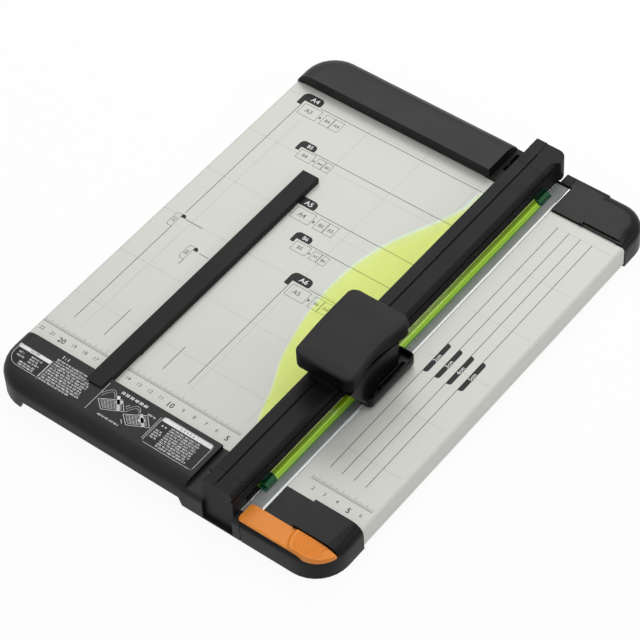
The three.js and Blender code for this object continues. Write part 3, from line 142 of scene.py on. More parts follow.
# %% Studio light
scene.view_settings.view_transform = "Standard"
world = bpy.data.worlds.new("studio")
scene.world = world
world.use_nodes = True
sky = world.node_tree
sky.nodes.clear()


def seen(tree):
    rays = node(tree, "LightPath").outputs
    total = rays["Is Camera Ray"]
    for kind in ("Is Glossy Ray", "Is Transmission Ray"):
        total = maths(tree, "MAXIMUM", total, rays[kind])
    return total


def lit_or_seen(tree, output, share, lit, shown):
    mix = node(tree, "MixShader", {"Fac": share, 1: lit.outputs[0], 2: shown.outputs[0]})
    node(tree, output, {"Surface": mix.outputs[0]})


sky_light = node(sky, "Background", {"Color": rgb(0.93, 0.96, 1.0), "Strength": 0.52})
sky_white = node(sky, "Background", {"Color": rgb(1, 1, 1)})
lit_or_seen(sky, "OutputWorld", seen(sky), sky_light, sky_white)


def softbox(name, place, aim, width, height, watts, colour):
    data = bpy.data.lights.new(name, "AREA")
    data.shape = "RECTANGLE"
    data.size = width
    data.size_y = height
    data.energy = watts
    data.color = colour
    lamp = in_scene(name, data)
    lamp.location = place
    lamp.rotation_euler = (Vector(aim) - Vector(place)).to_track_quat("-Z", "Y").to_euler()


softboxes = [
    ("key_softbox", (-0.7, 1.3, 1.7), (0, 0, 0), 1.5, 1.0, 19, (1.0, 0.985, 0.96)),
    ("top_softbox", (0.5, 0.3, 2.2), (0, 0, 0), 1.4, 1.4, 10, (1.0, 1.0, 1.0)),
    ("side_softbox", (1.5, 0.95, 0.85), (0.1, -0.1, 0.02), 0.22, 0.22, 2.4, (0.95, 0.98, 1.0)),
]
for settings in softboxes:
    softbox(*settings)
print(len(softboxes), "softboxes and a soft sky")

# %% [markdown]
# The floor is one pale sheet, larger than any view needs. It takes the shadow of the object like any matt
# card. To the camera it is mixed with plain white, which is how a photographer lifts a sweep to paper white
# in print while a soft shadow stays under the object.

# %% Floor
floor_reach, floor_level = 6.0, -0.0002
floor_corners = []
for u, v in ((-1, -1), (1, -1), (1, 1), (-1, 1)):
    floor_corners.append((u * floor_reach, v * floor_reach, floor_level))
floor_mesh = bpy.data.meshes.new("floor")
floor_mesh.from_pydata(floor_corners, [], [(0, 1, 2, 3)])
floor = in_scene("floor", floor_mesh)
sweep = bpy.data.materials.new("white_sweep")
sweep.use_nodes = True
card = sweep.node_tree
card.nodes.clear()
white_share = 0.93
card_matt = node(card, "BsdfDiffuse", {"Color": rgb(0.9, 0.9, 0.9)})
card_white = node(card, "Emission", {"Strength": 1.0})
lit_or_seen(card, "OutputMaterial", maths(card, "MULTIPLY", seen(card), white_share), card_matt, card_white)
floor.data.materials.append(sweep)
print("floor", 2 * floor_reach, "m wide, with its sweep")

# %% [markdown]
# Every finish on the object shares a few small effects: moulded grain, pale wear on edges (the same edge
# mix paints glints on the end clips and highlights on the mat lock), dust that settles on what faces up,
# lines drawn along an extrusion, and slow drifts of tone in paint.
# Each effect is a node group with named sockets, built once. A group gives out only colours, masks and
# heights, and the shader itself stays in the material, where the exporter can read it.

# %% Helpers for node groups
def effect(name, inputs, outputs):
    group = bpy.data.node_groups.new(name, "ShaderNodeTree")
    for label, kind, value in inputs:
        socket = group.interface.new_socket(name=label, in_out="INPUT", socket_type="NodeSocket" + kind)
        socket.default_value = value
    for label, kind in outputs:
        group.interface.new_socket(name=label, in_out="OUTPUT", socket_type="NodeSocket" + kind)
    return group, group.nodes.new("NodeGroupInput").outputs


def hand_out(group, **results):
    given = group.nodes.new("NodeGroupOutput")
    for label, source in results.items():
        group.links.new(source, given.inputs[label])
    print("group", group.name, "gives", ", ".join(results))


def product(tree, *factors):
    total = factors[0]
    for factor in factors[1:]:
        total = maths(tree, "MULTIPLY", total, factor)
    return total


def ranged(tree, value, low, high, to_low=0.0, to_high=1.0):
    limits = {"Value": value, "From Min": low, "From Max": high, "To Min": to_low, "To Max": to_high}
    return node(tree, "MapRange", limits).outputs[0]


def between(tree, share, low, high):
    return node(tree, "Mix", {"Factor": share, 2: low, 3: high}).outputs[0]


def mixed(tree, share, first, second, blend="MIX"):
    colours = {"Factor": share, 6: first, 7: second}
    return node(tree, "Mix", colours, data_type="RGBA", blend_type=blend).outputs[2]


def noise(tree, place, scale, detail):
    return node(tree, "TexNoise", {"Vector": place, "Scale": scale, "Detail": detail}).outputs["Fac"]


def own_place(tree):
    return node(tree, "TexCoord").outputs["Object"]


def facing(tree):
    return node(tree, "NewGeometry").outputs["Normal"]


def along_axis(tree, vector, axis):
    return node(tree, "SeparateXYZ", {0: vector}).outputs[axis]


# %% [markdown]
# Moulded grain is the skin of a spark-eroded tool: tiny even pits, a few tenths of a millimetre across.
# Voronoi cells give the even spacing and noise breaks their regularity. The group gives a height for a Bump
# node and a mask that also roughens the gloss, since a pit is never as shiny as the land between.

# %% Grain group
grain, taken = effect(
    "moulded_grain",
    [("Size", "Float", 0.5), ("Softness", "Float", 0.5)],
    [("Height", "Float"), ("Mask", "Float")],
)
place = own_place(grain)
per_metre = maths(grain, "DIVIDE", 1000.0, taken["Size"])
cells = node(grain, "TexVoronoi", {"Vector": place, "Scale": per_metre}).outputs["Distance"]
speckle = noise(grain, place, per_metre, detail=2.0)
pits = between(grain, taken["Softness"], cells, speckle)
hand_out(grain, Height=pits, Mask=product(grain, pits, noise(grain, place, scale=55.0, detail=3.0)))

# %% [markdown]
# Hands and paper polish the edges of a machine first. A Bevel node gives the normal that a slightly rounder
# edge would have. Where it leaves the true normal, there is an edge, whatever the shape of the mesh. Noise
# breaks the line, because real wear is never even. On the end clips and the mat lock the same mix paints
# glints and highlights along the edges instead of wear.

# %% Edge wear and painted glint group
edge_wear_and_glint, taken = effect(
    "edge_wear_and_glint_group",
    [("Colour", "Color", rgb(0.02, 0.02, 0.02)), ("Worn Colour", "Color", rgb(0.1, 0.1, 0.1)),
     ("Reach", "Float", 0.6), ("Amount", "Float", 0.5)],
    [("Colour", "Color")],
)
radius = product(edge_wear_and_glint, taken["Reach"], 0.001)
rounder = node(edge_wear_and_glint, "Bevel", {"Radius": radius}, samples=6).outputs["Normal"]
likeness = node(edge_wear_and_glint, "VectorMath", {0: rounder, 1: facing(edge_wear_and_glint)}, operation="DOT_PRODUCT").outputs["Value"]
edges = ranged(edge_wear_and_glint, likeness, low=0.995, high=0.86)
broken = ranged(edge_wear_and_glint, noise(edge_wear_and_glint, own_place(edge_wear_and_glint), scale=140.0, detail=4.0), low=0.3, high=0.65)
share = product(edge_wear_and_glint, edges, broken, taken["Amount"])
hand_out(edge_wear_and_glint, Colour=mixed(edge_wear_and_glint, share, taken["Colour"], taken["Worn Colour"]))

# %% [markdown]
# Dust and fibres of cut paper settle on what faces up, thin and uneven. The group mixes a pale tone into
# the colour by how far the surface faces up, times two sizes of noise.

# %% Dust group
dust, taken = effect(
    "settled_dust",
    [("Colour", "Color", rgb(0.02, 0.02, 0.02)), ("Dust Colour", "Color", rgb(0.45, 0.44, 0.42)),
     ("Amount", "Float", 0.04)],
    [("Colour", "Color")],
)
place = own_place(dust)
clouds = noise(dust, place, scale=24.0, detail=5.0)
flecks = noise(dust, place, scale=700.0, detail=3.0)
faces_up = ranged(dust, along_axis(dust, facing(dust), "Z"), low=0.3, high=1.0)
share = product(dust, clouds, flecks, faces_up, taken["Amount"])
hand_out(dust, Colour=mixed(dust, share, taken["Colour"], taken["Dust Colour"]))

# %% [markdown]
# An extrusion carries fine lines along its length, from the die it was pushed through. Noise that is
# squeezed across and stretched along gives the same streaks.

# %% Drawn lines group
lines, taken = effect(
    "drawn_lines",
    [("Colour", "Color", rgb(0.7, 0.7, 0.7)), ("Fineness", "Float", 3000.0), ("Amount", "Float", 0.2)],
    [("Colour", "Color"), ("Height", "Float")],
)
squeeze = {0: own_place(lines), 1: (1.0, 0.006, 1.0)}
stretched = node(lines, "VectorMath", squeeze, operation="MULTIPLY").outputs[0]
streaks = noise(lines, stretched, taken["Fineness"], detail=3.0)
darker = node(lines, "HueSaturation", {"Color": taken["Colour"], "Value": 0.6}).outputs[0]
share = product(lines, ranged(lines, streaks, low=0.25, high=0.75), taken["Amount"])
hand_out(lines, Colour=mixed(lines, share, taken["Colour"], darker), Height=streaks)

# %% [markdown]
# Paint, rubber and tinted plastic are never one flat tone: pigment drifts a little and the skin has a faint
# orange peel. One slow noise moves the tone and one fine noise gives the height.

# %% Tone drift group
mottle, taken = effect(
    "tone_drift",
    [("Colour", "Color", rgb(0.6, 0.6, 0.6)), ("Size", "Float", 30.0), ("Amount", "Float", 0.06)],
    [("Colour", "Color"), ("Height", "Float"), ("Mask", "Float")],
)
place = own_place(mottle)
clouds = noise(mottle, place, maths(mottle, "DIVIDE", 1000.0, taken["Size"]), detail=5.0)
swing = ranged(mottle, clouds, low=0.3, high=0.7, to_low=-1.0, to_high=1.0)
lightness = maths(mottle, "ADD", product(mottle, swing, taken["Amount"]), 1.0)
toned = node(mottle, "HueSaturation", {"Color": taken["Colour"], "Value": lightness}).outputs[0]
hand_out(mottle, Colour=toned, Height=noise(mottle, place, scale=900.0, detail=2.0), Mask=clouds)

# %% [markdown]
# A finish is a Principled shader with those effects in front of it. The helper below wires them in one
# order: tone drift or drawn lines, then the edge mix for wear and painted glints, then dust, with the grain
# as bump and as unevenness in the gloss. Values that are the same all over the surface are written on the
# shader's own sockets.

# %% Finish helper
def placed(tree, group, **values):
    inputs = {label.replace("_", " "): value for label, value in values.items()}
    return node(tree, "Group", inputs, node_tree=group).outputs


def gloss_of(material):
    return material.node_tree.nodes["Principled BSDF"].inputs


def finish(name, colour, rough, grain_size=0.0, grain_depth=0.004, softness=0.5, worn_colour=None, worn=0.0,
           reach=0.5, dusty=0.0, drift=0.04, drift_size=30.0, drawn=0.0, uneven=0.12, **shader):
    made = bpy.data.materials.new(name)
    made.use_nodes = True
    tree, gloss = made.node_tree, gloss_of(made)
    tone = placed(tree, mottle, Colour=colour, Size=drift_size, Amount=drift)
    shade, height, patches = tone["Colour"], tone["Height"], tone["Mask"]
    if drawn:
        pulled = placed(tree, lines, Colour=shade, Amount=drawn)
        shade, height = pulled["Colour"], pulled["Height"]
    if worn:
        edges = placed(tree, edge_wear_and_glint, Colour=shade, Worn_Colour=worn_colour, Reach=reach, Amount=worn)
        shade = edges["Colour"]
    if dusty:
        shade = placed(tree, dust, Colour=shade, Amount=dusty)["Colour"]
    if grain_size:
        skin = placed(tree, grain, Size=grain_size, Softness=softness)
        height, patches = skin["Height"], skin["Mask"]
    tree.links.new(shade, gloss["Base Color"])
    smoothest, roughest = rough - uneven / 2, rough + uneven / 2
    roughness = ranged(tree, patches, low=0.1, high=0.6, to_low=smoothest, to_high=roughest)
    tree.links.new(roughness, gloss["Roughness"])
    bump = node(tree, "Bump", {"Height": height, "Strength": 1.0, "Distance": mm(grain_depth)})
    tree.links.new(bump.outputs[0], gloss["Normal"])
    for socket, value in shader.items():
        gloss[socket.replace("_", " ")].default_value = value
    return made


# %% [markdown]
# The black mouldings are glass-filled plastic with a fine matt grain, a touch paler where hands polish the
# edges. The left ones are a little greyer and the right caps glossier.
# The knob has a softer skin and the blade guard is polished, so the blacks differ in roughness and grain and
# not only in tone. The rail is an aluminium extrusion with black anodising, which keeps its die lines.

# %% Black finishes
moulding = {"grain_size": 0.45, "worn": 0.3, "reach": 0.7, "dusty": 0.02, "drift": 0.1}
moulded_black = finish("moulded_black", rgb(0.013, 0.013, 0.0136), 0.46, grain_depth=0.012,
                       worn_colour=rgb(0.06, 0.06, 0.062), Specular_IOR_Level=0.08, **moulding)
base_black = finish("base_black", rgb(0.0155, 0.0155, 0.016), 0.44, grain_depth=0.012,
                    worn_colour=rgb(0.07, 0.07, 0.072), Specular_IOR_Level=0.15, **moulding)
cap_black = finish("cap_black", rgb(0.0070, 0.0070, 0.0075), 0.30, grain_depth=0.006,
                   worn_colour=rgb(0.06, 0.06, 0.062), Specular_IOR_Level=0.11, **moulding)
knob_black = finish("soft_black", rgb(0.013, 0.013, 0.0138), 0.50, grain_size=0.35, grain_depth=0.008,
                    softness=0.8, worn_colour=rgb(0.05, 0.05, 0.052), worn=0.2, reach=0.9, dusty=0.02,
                    drift=0.08, Specular_IOR_Level=0.13)
# a darker copy of the knob's black, painted shade for the wall under the edge
painted_shade_wall = finish("knob_wall_painted_shade", rgb(0.004, 0.004, 0.0044), 0.42, grain_size=0.35, grain_depth=0.006,
                   drift=0.08, Specular_IOR_Level=0.05)
guard_black = finish("polished_black", rgb(0.007, 0.007, 0.0077), 0.24, grain_depth=0.0005, drift=0.08,
                     uneven=0.04, Specular_IOR_Level=0.14)
rail_black = finish("anodised_black", rgb(0.011, 0.011, 0.0118), 0.42, drawn=0.35,
                    worn_colour=rgb(0.09, 0.09, 0.094), worn=0.3, reach=0.4, dusty=0.02, drift=0.06,
                    Specular_IOR_Level=0.09)
hollow_black = finish("shadow_black", rgb(0.006, 0.006, 0.006), 0.7, drift=0.1, Specular_IOR_Level=0.1)
rubber_black = finish("foot_rubber", rgb(0.02, 0.02, 0.02), 0.8, grain_size=0.8, grain_depth=0.03,
                      drift=0.15)
print("eight blacks and a rubber")

# %% [markdown]
# The deck is steel sheet under a satin warm grey paint. The channel beside the blade is bare aluminium with
# its die lines, and small steel parts are turned and bright.
# The mat is a grey, slightly chalky plastic. Beside the green strip it gets a painted green shadow: a tint
# that fades to white across the mat and at its two ends is multiplied into the grey, in place of the shade
# and green light that the strip throws on it.

# %% Deck, metal and mat finishes
def multiply_base(material, factor):
    tree, base = material.node_tree, gloss_of(material)["Base Color"]
    shade = mixed(tree, 1.0, base.links[0].from_socket, factor, "MULTIPLY")
    tree.links.new(shade, base)
    return shade


deck_paint = finish("deck_paint", rgb(0.61, 0.61, 0.55), 0.42, worn_colour=rgb(0.72, 0.72, 0.7), worn=0.3,
                    reach=0.6, drift=0.02, drift_size=70, uneven=0.1, Coat_Weight=0.12, Coat_Roughness=0.3)
bare_aluminium = finish("bare_aluminium", rgb(0.80, 0.81, 0.82), 0.3, drawn=0.25, drift=0.03, uneven=0.1,
                        Metallic=1.0)
# a pale matt colour in place of the polished lip's reflection: a painted reflection
lip_painted_reflection = finish("lip_painted_reflection", rgb(0.88, 0.885, 0.86), 0.35, drift=0.02, uneven=0.06)
grey_mat = finish("grey_mat", rgb(0.26, 0.268, 0.26), 0.6, grain_size=0.9, grain_depth=0.014, drift=0.08,
                  drift_size=6.0, worn_colour=rgb(0.6, 0.62, 0.63), worn=0.3, reach=0.4,
                  Specular_IOR_Level=0.3)
mat_tree = grey_mat.node_tree
mat_place = own_place(mat_tree)
from_strip = ranged(mat_tree, along_axis(mat_tree, mat_place, "X"), at(-1.5, 0).x, at(2.6, 0).x)
off_middle = maths(mat_tree, "SUBTRACT", along_axis(mat_tree, mat_place, "Y"), at(0, 153).y)
near_end = ranged(mat_tree, maths(mat_tree, "ABSOLUTE", off_middle), mm(146), mm(156))
no_painted_shadow = maths(mat_tree, "MAXIMUM", from_strip, near_end)
# painted green shadow of the strip, multiplied into the mat's grey
multiply_base(grey_mat, mixed(mat_tree, no_painted_shadow, rgb(0.76, 0.92, 0.66), rgb(1, 1, 1)))
bright_steel = finish("bright_steel", rgb(0.60, 0.61, 0.62), 0.24, drift=0.05, uneven=0.1, Metallic=1.0)
print("deck, channel, lip, mat and steel")

# %% [markdown]
# The clamp sheet is tinted, edge-lit acrylic: it gathers light in its face and lets it out at its cut
# edges, so the edges look brighter than the face. That brightness is painted light: a paler rim colour comes
# in where the surface turns away from straight up, and a weak emission adds a painted glow. The face is part
# see-through. The dark green end clips are the same plastic in a deeper tint, with painted mint glints on
# their edges, and the mat lock is an orange moulding with painted highlights on its edges.

# %% Clear and coloured plastics
def light_from_inside(material, shade, glow, cover):
    gloss = gloss_of(material)
    for socket, source in (("Base Color", shade), ("Emission Color", shade), ("Alpha", cover)):
        material.node_tree.links.new(source, gloss[socket])
    gloss["Emission Strength"].default_value = glow


def edge_lit(name, face, rim, clearness, glow, **more):
    made = finish(name, face, 0.12, drift=0.03, uneven=0.06, Specular_IOR_Level=0.25, **more)
    tree = made.node_tree
    level_share = maths(tree, "ABSOLUTE", along_axis(tree, facing(tree), "Z"))
    # a paler rim colour where the surface turns from straight up: painted edge light
    side = ranged(tree, level_share, low=0.9, high=0.5)
    lit = mixed(tree, side, gloss_of(made)["Base Color"].links[0].from_socket, rim)
    cover = between(tree, side, low=clearness, high=1.0)
    light_from_inside(made, lit, glow, cover)
    return made


clear_green = edge_lit("edge_lit_green", rgb(0.60, 0.74, 0.02), rgb(0.75, 0.95, 0.22), clearness=0.62,
                       glow=0.14)
# the end clips' mint edges are painted glints, laid on by the edge mix
dark_green = edge_lit("end_clip_green", rgb(0.0015, 0.021, 0.007), rgb(0.006, 0.11, 0.034), clearness=0.95,
                      glow=0.03, worn_colour=rgb(0.22, 0.85, 0.48), worn=0.9, reach=0.5)
# the mat lock's pale edges are painted highlights, laid on by the edge mix
orange = finish("mat_lock_orange", rgb(0.79, 0.24, 0.018), 0.42, grain_size=0.5, grain_depth=0.008,
                softness=0.8, worn_colour=rgb(0.97, 0.60, 0.34), worn=0.7, reach=1.0, drift=0.04,
                Specular_IOR_Level=0.3)
print("clear green, dark green and orange")

# %% [markdown]
# CAD solids come with flat facets and knife edges. Real mouldings and sheet metal have small radii that
# catch a line of light, and that line is what makes a black part readable.
# The meshes themselves mustn't change, so modifiers do it: a geometry node group welds the facets and
# smooths what is nearly flat, then a bevel rounds the edges and weighted normals keep the big faces flat.

# %% Rounded edges by modifiers
crease_angle = math.radians(32)
weld_and_smooth = bpy.data.node_groups.new("weld_and_smooth", "GeometryNodeTree")
for way in ("INPUT", "OUTPUT"):
    weld_and_smooth.interface.new_socket(name="Geometry", in_out=way, socket_type="NodeSocketGeometry")


def mesh_step(kind, socket=None, value=None, **settings):
    made = weld_and_smooth.nodes.new(kind)
    for key, setting in settings.items():
        setattr(made, key, setting)
    if socket:
        made.inputs[socket].default_value = value
    return made


crease = mesh_step("GeometryNodeSetShadeSmooth", "Shade Smooth", False, domain="EDGE")
stages = [
    mesh_step("NodeGroupInput"),
    mesh_step("GeometryNodeRemoveAttribute", "Name", "custom_normal"),
    mesh_step("GeometryNodeMergeByDistance", "Distance", mm(0.004)),
    mesh_step("GeometryNodeSetShadeSmooth"),
    crease,
    mesh_step("NodeGroupOutput"),
]
for earlier, later in zip(stages, stages[1:]):
    weld_and_smooth.links.new(earlier.outputs["Geometry"], later.inputs["Geometry"])
edge_angle = mesh_step("GeometryNodeInputMeshEdgeAngle")
sharp = mesh_step("FunctionNodeCompare", "B", crease_angle, operation="GREATER_THAN")
weld_and_smooth.links.new(edge_angle.outputs["Unsigned Angle"], sharp.inputs["A"])
weld_and_smooth.links.new(sharp.outputs["Result"], crease.inputs["Selection"])


def soften(piece, radius=0.0):
    weld = piece.modifiers.new("weld_and_smooth", "NODES")
    weld.node_group = weld_and_smooth
    if radius:
        rim = piece.modifiers.new("edge_radius", "BEVEL")
        rim.width = mm(radius)
        rim.segments = 2
        rim.limit_method = "ANGLE"
        rim.angle_limit = crease_angle
        rim.miter_outer = "MITER_ARC"
        rim.use_clamp_overlap = True
        flat = piece.modifiers.new("flat_faces", "WEIGHTED_NORMAL")
        flat.keep_sharp = True


print("edges sharper than", round(math.degrees(crease_angle)), "degrees stay creased")

# %% [markdown]
# Each solid gets one finish and one edge radius in millimetres. Sheet metal and the extrusion have tight
# edges, mouldings have softer ones, and turned parts keep the edges that they have.

# %% Dress the solids
screws = [name for name in nodes if name.startswith("screw_")]
feet = [name for name in nodes if name.startswith("foot_")]
dressing = [
    (deck_paint, 0.2, ["deck_left", "deck_right"]),
    (bare_aluminium, 0.12, ["mat_channel"]),
    (grey_mat, 0.1, ["cutting_mat"]),
    (base_black, 0.5, ["front_left_base", "rear_left_cap"]),
    (moulded_black, 0.5, ["rear_hinge_block", "rail_rear_block", "rail_front_cap"]),
    (cap_black, 0.5, ["front_right_cap", "rear_right_cap"]),
    (moulded_black, 0.25, ["guide_bar", "blade_holder", "carriage_shoe"]),
    (knob_black, 0.3, ["knob"]),
    (guard_black, 0.25, ["blade_cover"]),
    (rail_black, 0.25, ["rail_extrusion"]),
    (clear_green, 0.1, ["clamp_plate"]),
    (dark_green, 0.15, ["clamp_stop_front", "clamp_stop_rear", "blade_hub"]),
    (orange, 0.25, ["mat_lock"]),
    (rubber_black, 0.0, feet),
    (bright_steel, 0.0, screws + ["hinge_pin", "lift_spring", "press_spring", "blade_axle", "blade_disc",
                                  "guide_magnet_1", "guide_magnet_2"]),
]
for material, radius, names in dressing:
    for name in names:
        solid = nodes[name]
        solid.data.materials.clear()
        solid.data.materials.append(material)
        soften(solid, radius)
print(sum(len(names) for material, radius, names in dressing), "of", len(nodes), "solids dressed")

# %% [markdown]
# The knob, the blade guard and the clamp sheet have curves that flat CAD facets can't show, so they are
# built again and stand for their solids. A loft suits all of them: closed outlines of equal point count,
# one above the other, joined by quads. The outlines come from arcs, rounded rectangles or the measured
# sections of the solids, so the new pieces keep the same size and place.

# %% Lofts from outlines
quarter = math.pi / 2


def arc(x, y, wide, start, turn, steps, tall=None):
    angles = [start + turn * i / steps for i in range(steps + 1)]
    return [(x + wide * math.cos(a), y + (tall or wide) * math.sin(a)) for a in angles]


def circle(x, y, radius, steps=40):
    return arc(x, y, radius, 0.0, 2 * math.pi, steps)[:-1]


def rounded_outline(x0, y0, x1, y1, radii, steps=6):
    corners = [(x0, y0, 1, 1), (x1, y0, -1, 1), (x1, y1, -1, -1), (x0, y1, 1, -1)]
    points = []
    for i, ((x, y, to_x, to_y), radius) in enumerate(zip(corners, radii)):
        if radius:
            start = math.pi + quarter * i
            points += arc(x + to_x * radius, y + to_y * radius, radius, start, quarter, steps)
        else:
            points.append((x, y))
    return points


def level(points, z):
    return [at(x, y, z) for x, y in points]


def drawn_in(points, inset):
    moved = []
    for i, (x, y) in enumerate(points):
        (ax, ay), (bx, by) = points[i - 1], points[(i + 1) % len(points)]
        dx, dy = bx - ax, by - ay
        length = math.hypot(dx, dy) or 1
        moved.append((x - dy / length * inset, y + dx / length * inset))
    return moved


def loft(mesh, outlines, around=False):
    rows = [[mesh.verts.new(point) for point in outline] for outline in outlines]
    pairs = list(zip(rows, rows[1:])) + ([(rows[-1], rows[0])] if around else [])
    for lower, upper in pairs:
        for i in range(len(lower)):
            j = (i + 1) % len(lower)
            mesh.faces.new((lower[i], lower[j], upper[j], upper[i]))
    if not around:
        mesh.faces.new(list(reversed(rows[0])))
        mesh.faces.new(rows[-1])


def swept(mesh, section, places):
    loft(mesh, [[at(x, y, z) for x, z in section] for y in places])


def made_piece(name, mesh, material, body, stands_for=()):
    bmesh.ops.remove_doubles(mesh, verts=mesh.verts, dist=0.000002)
    bmesh.ops.dissolve_degenerate(mesh, edges=mesh.edges, dist=0.000002)
    bmesh.ops.recalc_face_normals(mesh, faces=mesh.faces)
    data = bpy.data.meshes.new(name)
    mesh.to_mesh(data)
    mesh.free()
    data.materials.append(material)
    piece = in_scene(name, data)
    soften(piece)
    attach(piece, body)
    if stands_for:
        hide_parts(*stands_for)
    print(name, "has", len(data.polygons), "faces")
    return piece


def also_finish(piece, material, chosen):
    piece.data.materials.append(material)
    for face in piece.data.polygons:
        if chosen(face.center):
            face.material_index = 1


# %% [markdown]
# The knob is the part that a hand holds: a soft-touch block with a nearly flat top, round corners, a left
# side that bows out a little and a right side that is waisted for the thumb. Its wall leans in below the
# waist. One outline function draws it at any height and inset. The rings, each a height and an inset, then
# run from the ceiling inside, down the inner wall, round the lower lip, up the outer wall, over a small
# edge and across the crown. The wall under the edge sees only the dark machine, so it gets a deeper black:
# a painted shade, a darker copy of the knob's own black.

# %% Knob
knob_x, knob_y = -13.2, 100.0
knob_half_width, knob_half_length = 25.2, 35.6
knob_corner, knob_edge, knob_crown = 7.0, 1.7, 0.7
thumb_waist, foot_waist, bowed_side, side_slant = 3.2, 2.0, 0.8, 1.2
knob_foot, knob_top = 35.6, 50.0


def knob_outline(z, inset, side_steps=18, corner_steps=10):
    wide, long = knob_half_width - inset, knob_half_length - inset
    radii = [max(knob_corner - inset, 0.4)] * 4
    arcs = rounded_outline(knob_x - wide, knob_y - long, knob_x + wide, knob_y + long, radii, corner_steps)
    points = []
    for corner in range(4):
        own = arcs[corner * (corner_steps + 1):(corner + 1) * (corner_steps + 1)]
        (ax, ay), (bx, by) = own[-1], arcs[((corner + 1) % 4) * (corner_steps + 1)]
        points += own
        for share in [i / side_steps for i in range(1, side_steps)]:
            points.append((ax + (bx - ax) * share, ay + (by - ay) * share))
    waist = thumb_waist + foot_waist * min(1, (knob_top - z) / (knob_top - knob_foot))
    shaped = []
    for x, y in points:
        along = (y - knob_y) / long
        swell = math.cos(min(abs(along), 1) * quarter) ** 2
        side = (x - knob_x) / knob_half_width
        shift = -waist * swell * side if side > 0 else (bowed_side * swell + side_slant * along) * side
        shaped.append(at(x + shift, y, z))
    return shaped


knob_rings = [(46.9, 12), (46.9, 3.4), (46.2, 2.3), (44, 2), (36.2, 2), (35.75, 1.7), (knob_foot, 1.2),
              (35.7, 0.5), (36.1, 0.12), (36.8, 0), (40, 0), (44, 0), (47.4, 0)]
knob_rings += [(z, inset) for inset, z in arc(knob_edge, 47.6, knob_edge, math.pi, -quarter, 6)]
for share in (0.08, 0.2, 0.4, 0.6, 0.8, 1.0):
    knob_rings.append((knob_top - knob_crown * (1 - share) ** 2, knob_edge + 12 * share))
knob_mesh = bmesh.new()
loft(knob_mesh, [knob_outline(z, inset) for z, inset in knob_rings])
plunger_x = -18.5
plunger = [(28.9, 5.9), (28.6, 6.3), (28.6, 7.0), (28.9, 7.4), (46.95, 7.4), (46.95, 5.9)]
loft(knob_mesh, [level(circle(plunger_x, knob_y, radius), z) for z, radius in plunger], around=True)
knob = made_piece("knob_cap", knob_mesh, knob_black, "head", ["knob"])
under_edge = at(0, 0, 47.2).z
# faces below the edge take the painted-shade copy of the black
also_finish(knob, painted_shade_wall, lambda middle: middle.z < under_edge)

# %% [markdown]
# The press spring stands inside the knob's plunger. When the handle goes down the coil gets shorter. The
# spring is a mesh of its own, and its foot, head and width are read from the solid. Its first and last turns
# lie almost flat, as the closed ends of a wound spring do.

# %% Press spring
spring_low, spring_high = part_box("press_spring")
spring_middle = (spring_low + spring_high) / 2
coil_wire = mm(0.55)
coil_radius = (spring_high.x - spring_low.x) / 2 - coil_wire
coil_foot = spring_low.z + coil_wire
coil_length = spring_high.z - coil_wire - coil_foot
coil_turns, coil_steps, wire_sides = 7, 26, 10
flat_turns, flat_rise = 0.8, 0.05


def clamped(value):
    return min(max(value, 0.0), 1.0)


spring_rings = []
for step in range(coil_turns * coil_steps + 1):
    share = step / (coil_turns * coil_steps)
    angle = 2 * math.pi * coil_turns * share
    climb = clamped((share * coil_turns - flat_turns) / (coil_turns - 2 * flat_turns))
    height = coil_foot + coil_length * (flat_rise * share + (1 - flat_rise) * climb)
    ring = []
    for outward, z in circle(coil_radius, height, coil_wire, wire_sides):
        x = spring_middle.x + outward * math.cos(angle)
        y = spring_middle.y + outward * math.sin(angle)
        ring.append(Vector((x, y, z)))
    spring_rings.append(ring)
spring_mesh = bmesh.new()
loft(spring_mesh, spring_rings)
spring = made_piece("knob_spring", spring_mesh, bright_steel, "carriage", ["press_spring"])
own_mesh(spring)

# %% [markdown]
# The guard beside the rail is polished plastic in one moulding: a small open tub that runs flat over the
# paper, and a leaning column that rises to the knob and hides the blade. The column is hollowed on its
# outer side, and that hollow with its soft foot is where the reflections run.
# The tub's corners are given with their radii, and its rings again as heights and insets.

# %% Guard tub
tub_corners = [(4.4, 84.0, 0.3), (13.5, 84.0, 4.2), (13.5, 137.0, 5.0), (-1.8, 137.0, 2.6),
               (-1.8, 119.0, 0.3)]
tub_steps = 8
tub_outline = []
for i, (x, y, radius) in enumerate(tub_corners):
    before, after = Vector(tub_corners[i - 1][:2]), Vector(tub_corners[(i + 1) % len(tub_corners)][:2])
    corner = Vector((x, y))
    start = corner + (before - corner).normalized() * radius
    end = corner + (after - corner).normalized() * radius
    for step in range(tub_steps + 1):
        t = step / tub_steps
        tub_outline.append(tuple(start * (1 - t) ** 2 + corner * 2 * t * (1 - t) + end * t ** 2))
tub_outline.append((4.4, 119.0))
tub_rings = [(3.0, 0.6), (3.15, 0.15), (3.6, 0), (10.2, 0), (10.7, 0.15), (11.0, 0.6), (10.9, 1.1),
             (10.4, 1.4), (7.0, 1.6), (5.9, 1.9), (5.4, 2.5), (5.2, 3.3)]
guard_mesh = bmesh.new()
loft(guard_mesh, [level(drawn_in(tub_outline, inset), z) for z, inset in tub_rings])
print("tub outline of", len(tub_outline), "points")

# %% [markdown]
# The blade hangs inside the column, so the column is a tube: its rings go up outside, over the top and down
# again inside. A share from 0 at its foot to 1 at its top sets the lean of the front, the nose, the rear
# and the height, and the flare makes the soft foot and the small rim. Left of the cut the tube ends higher,
# over the mat.

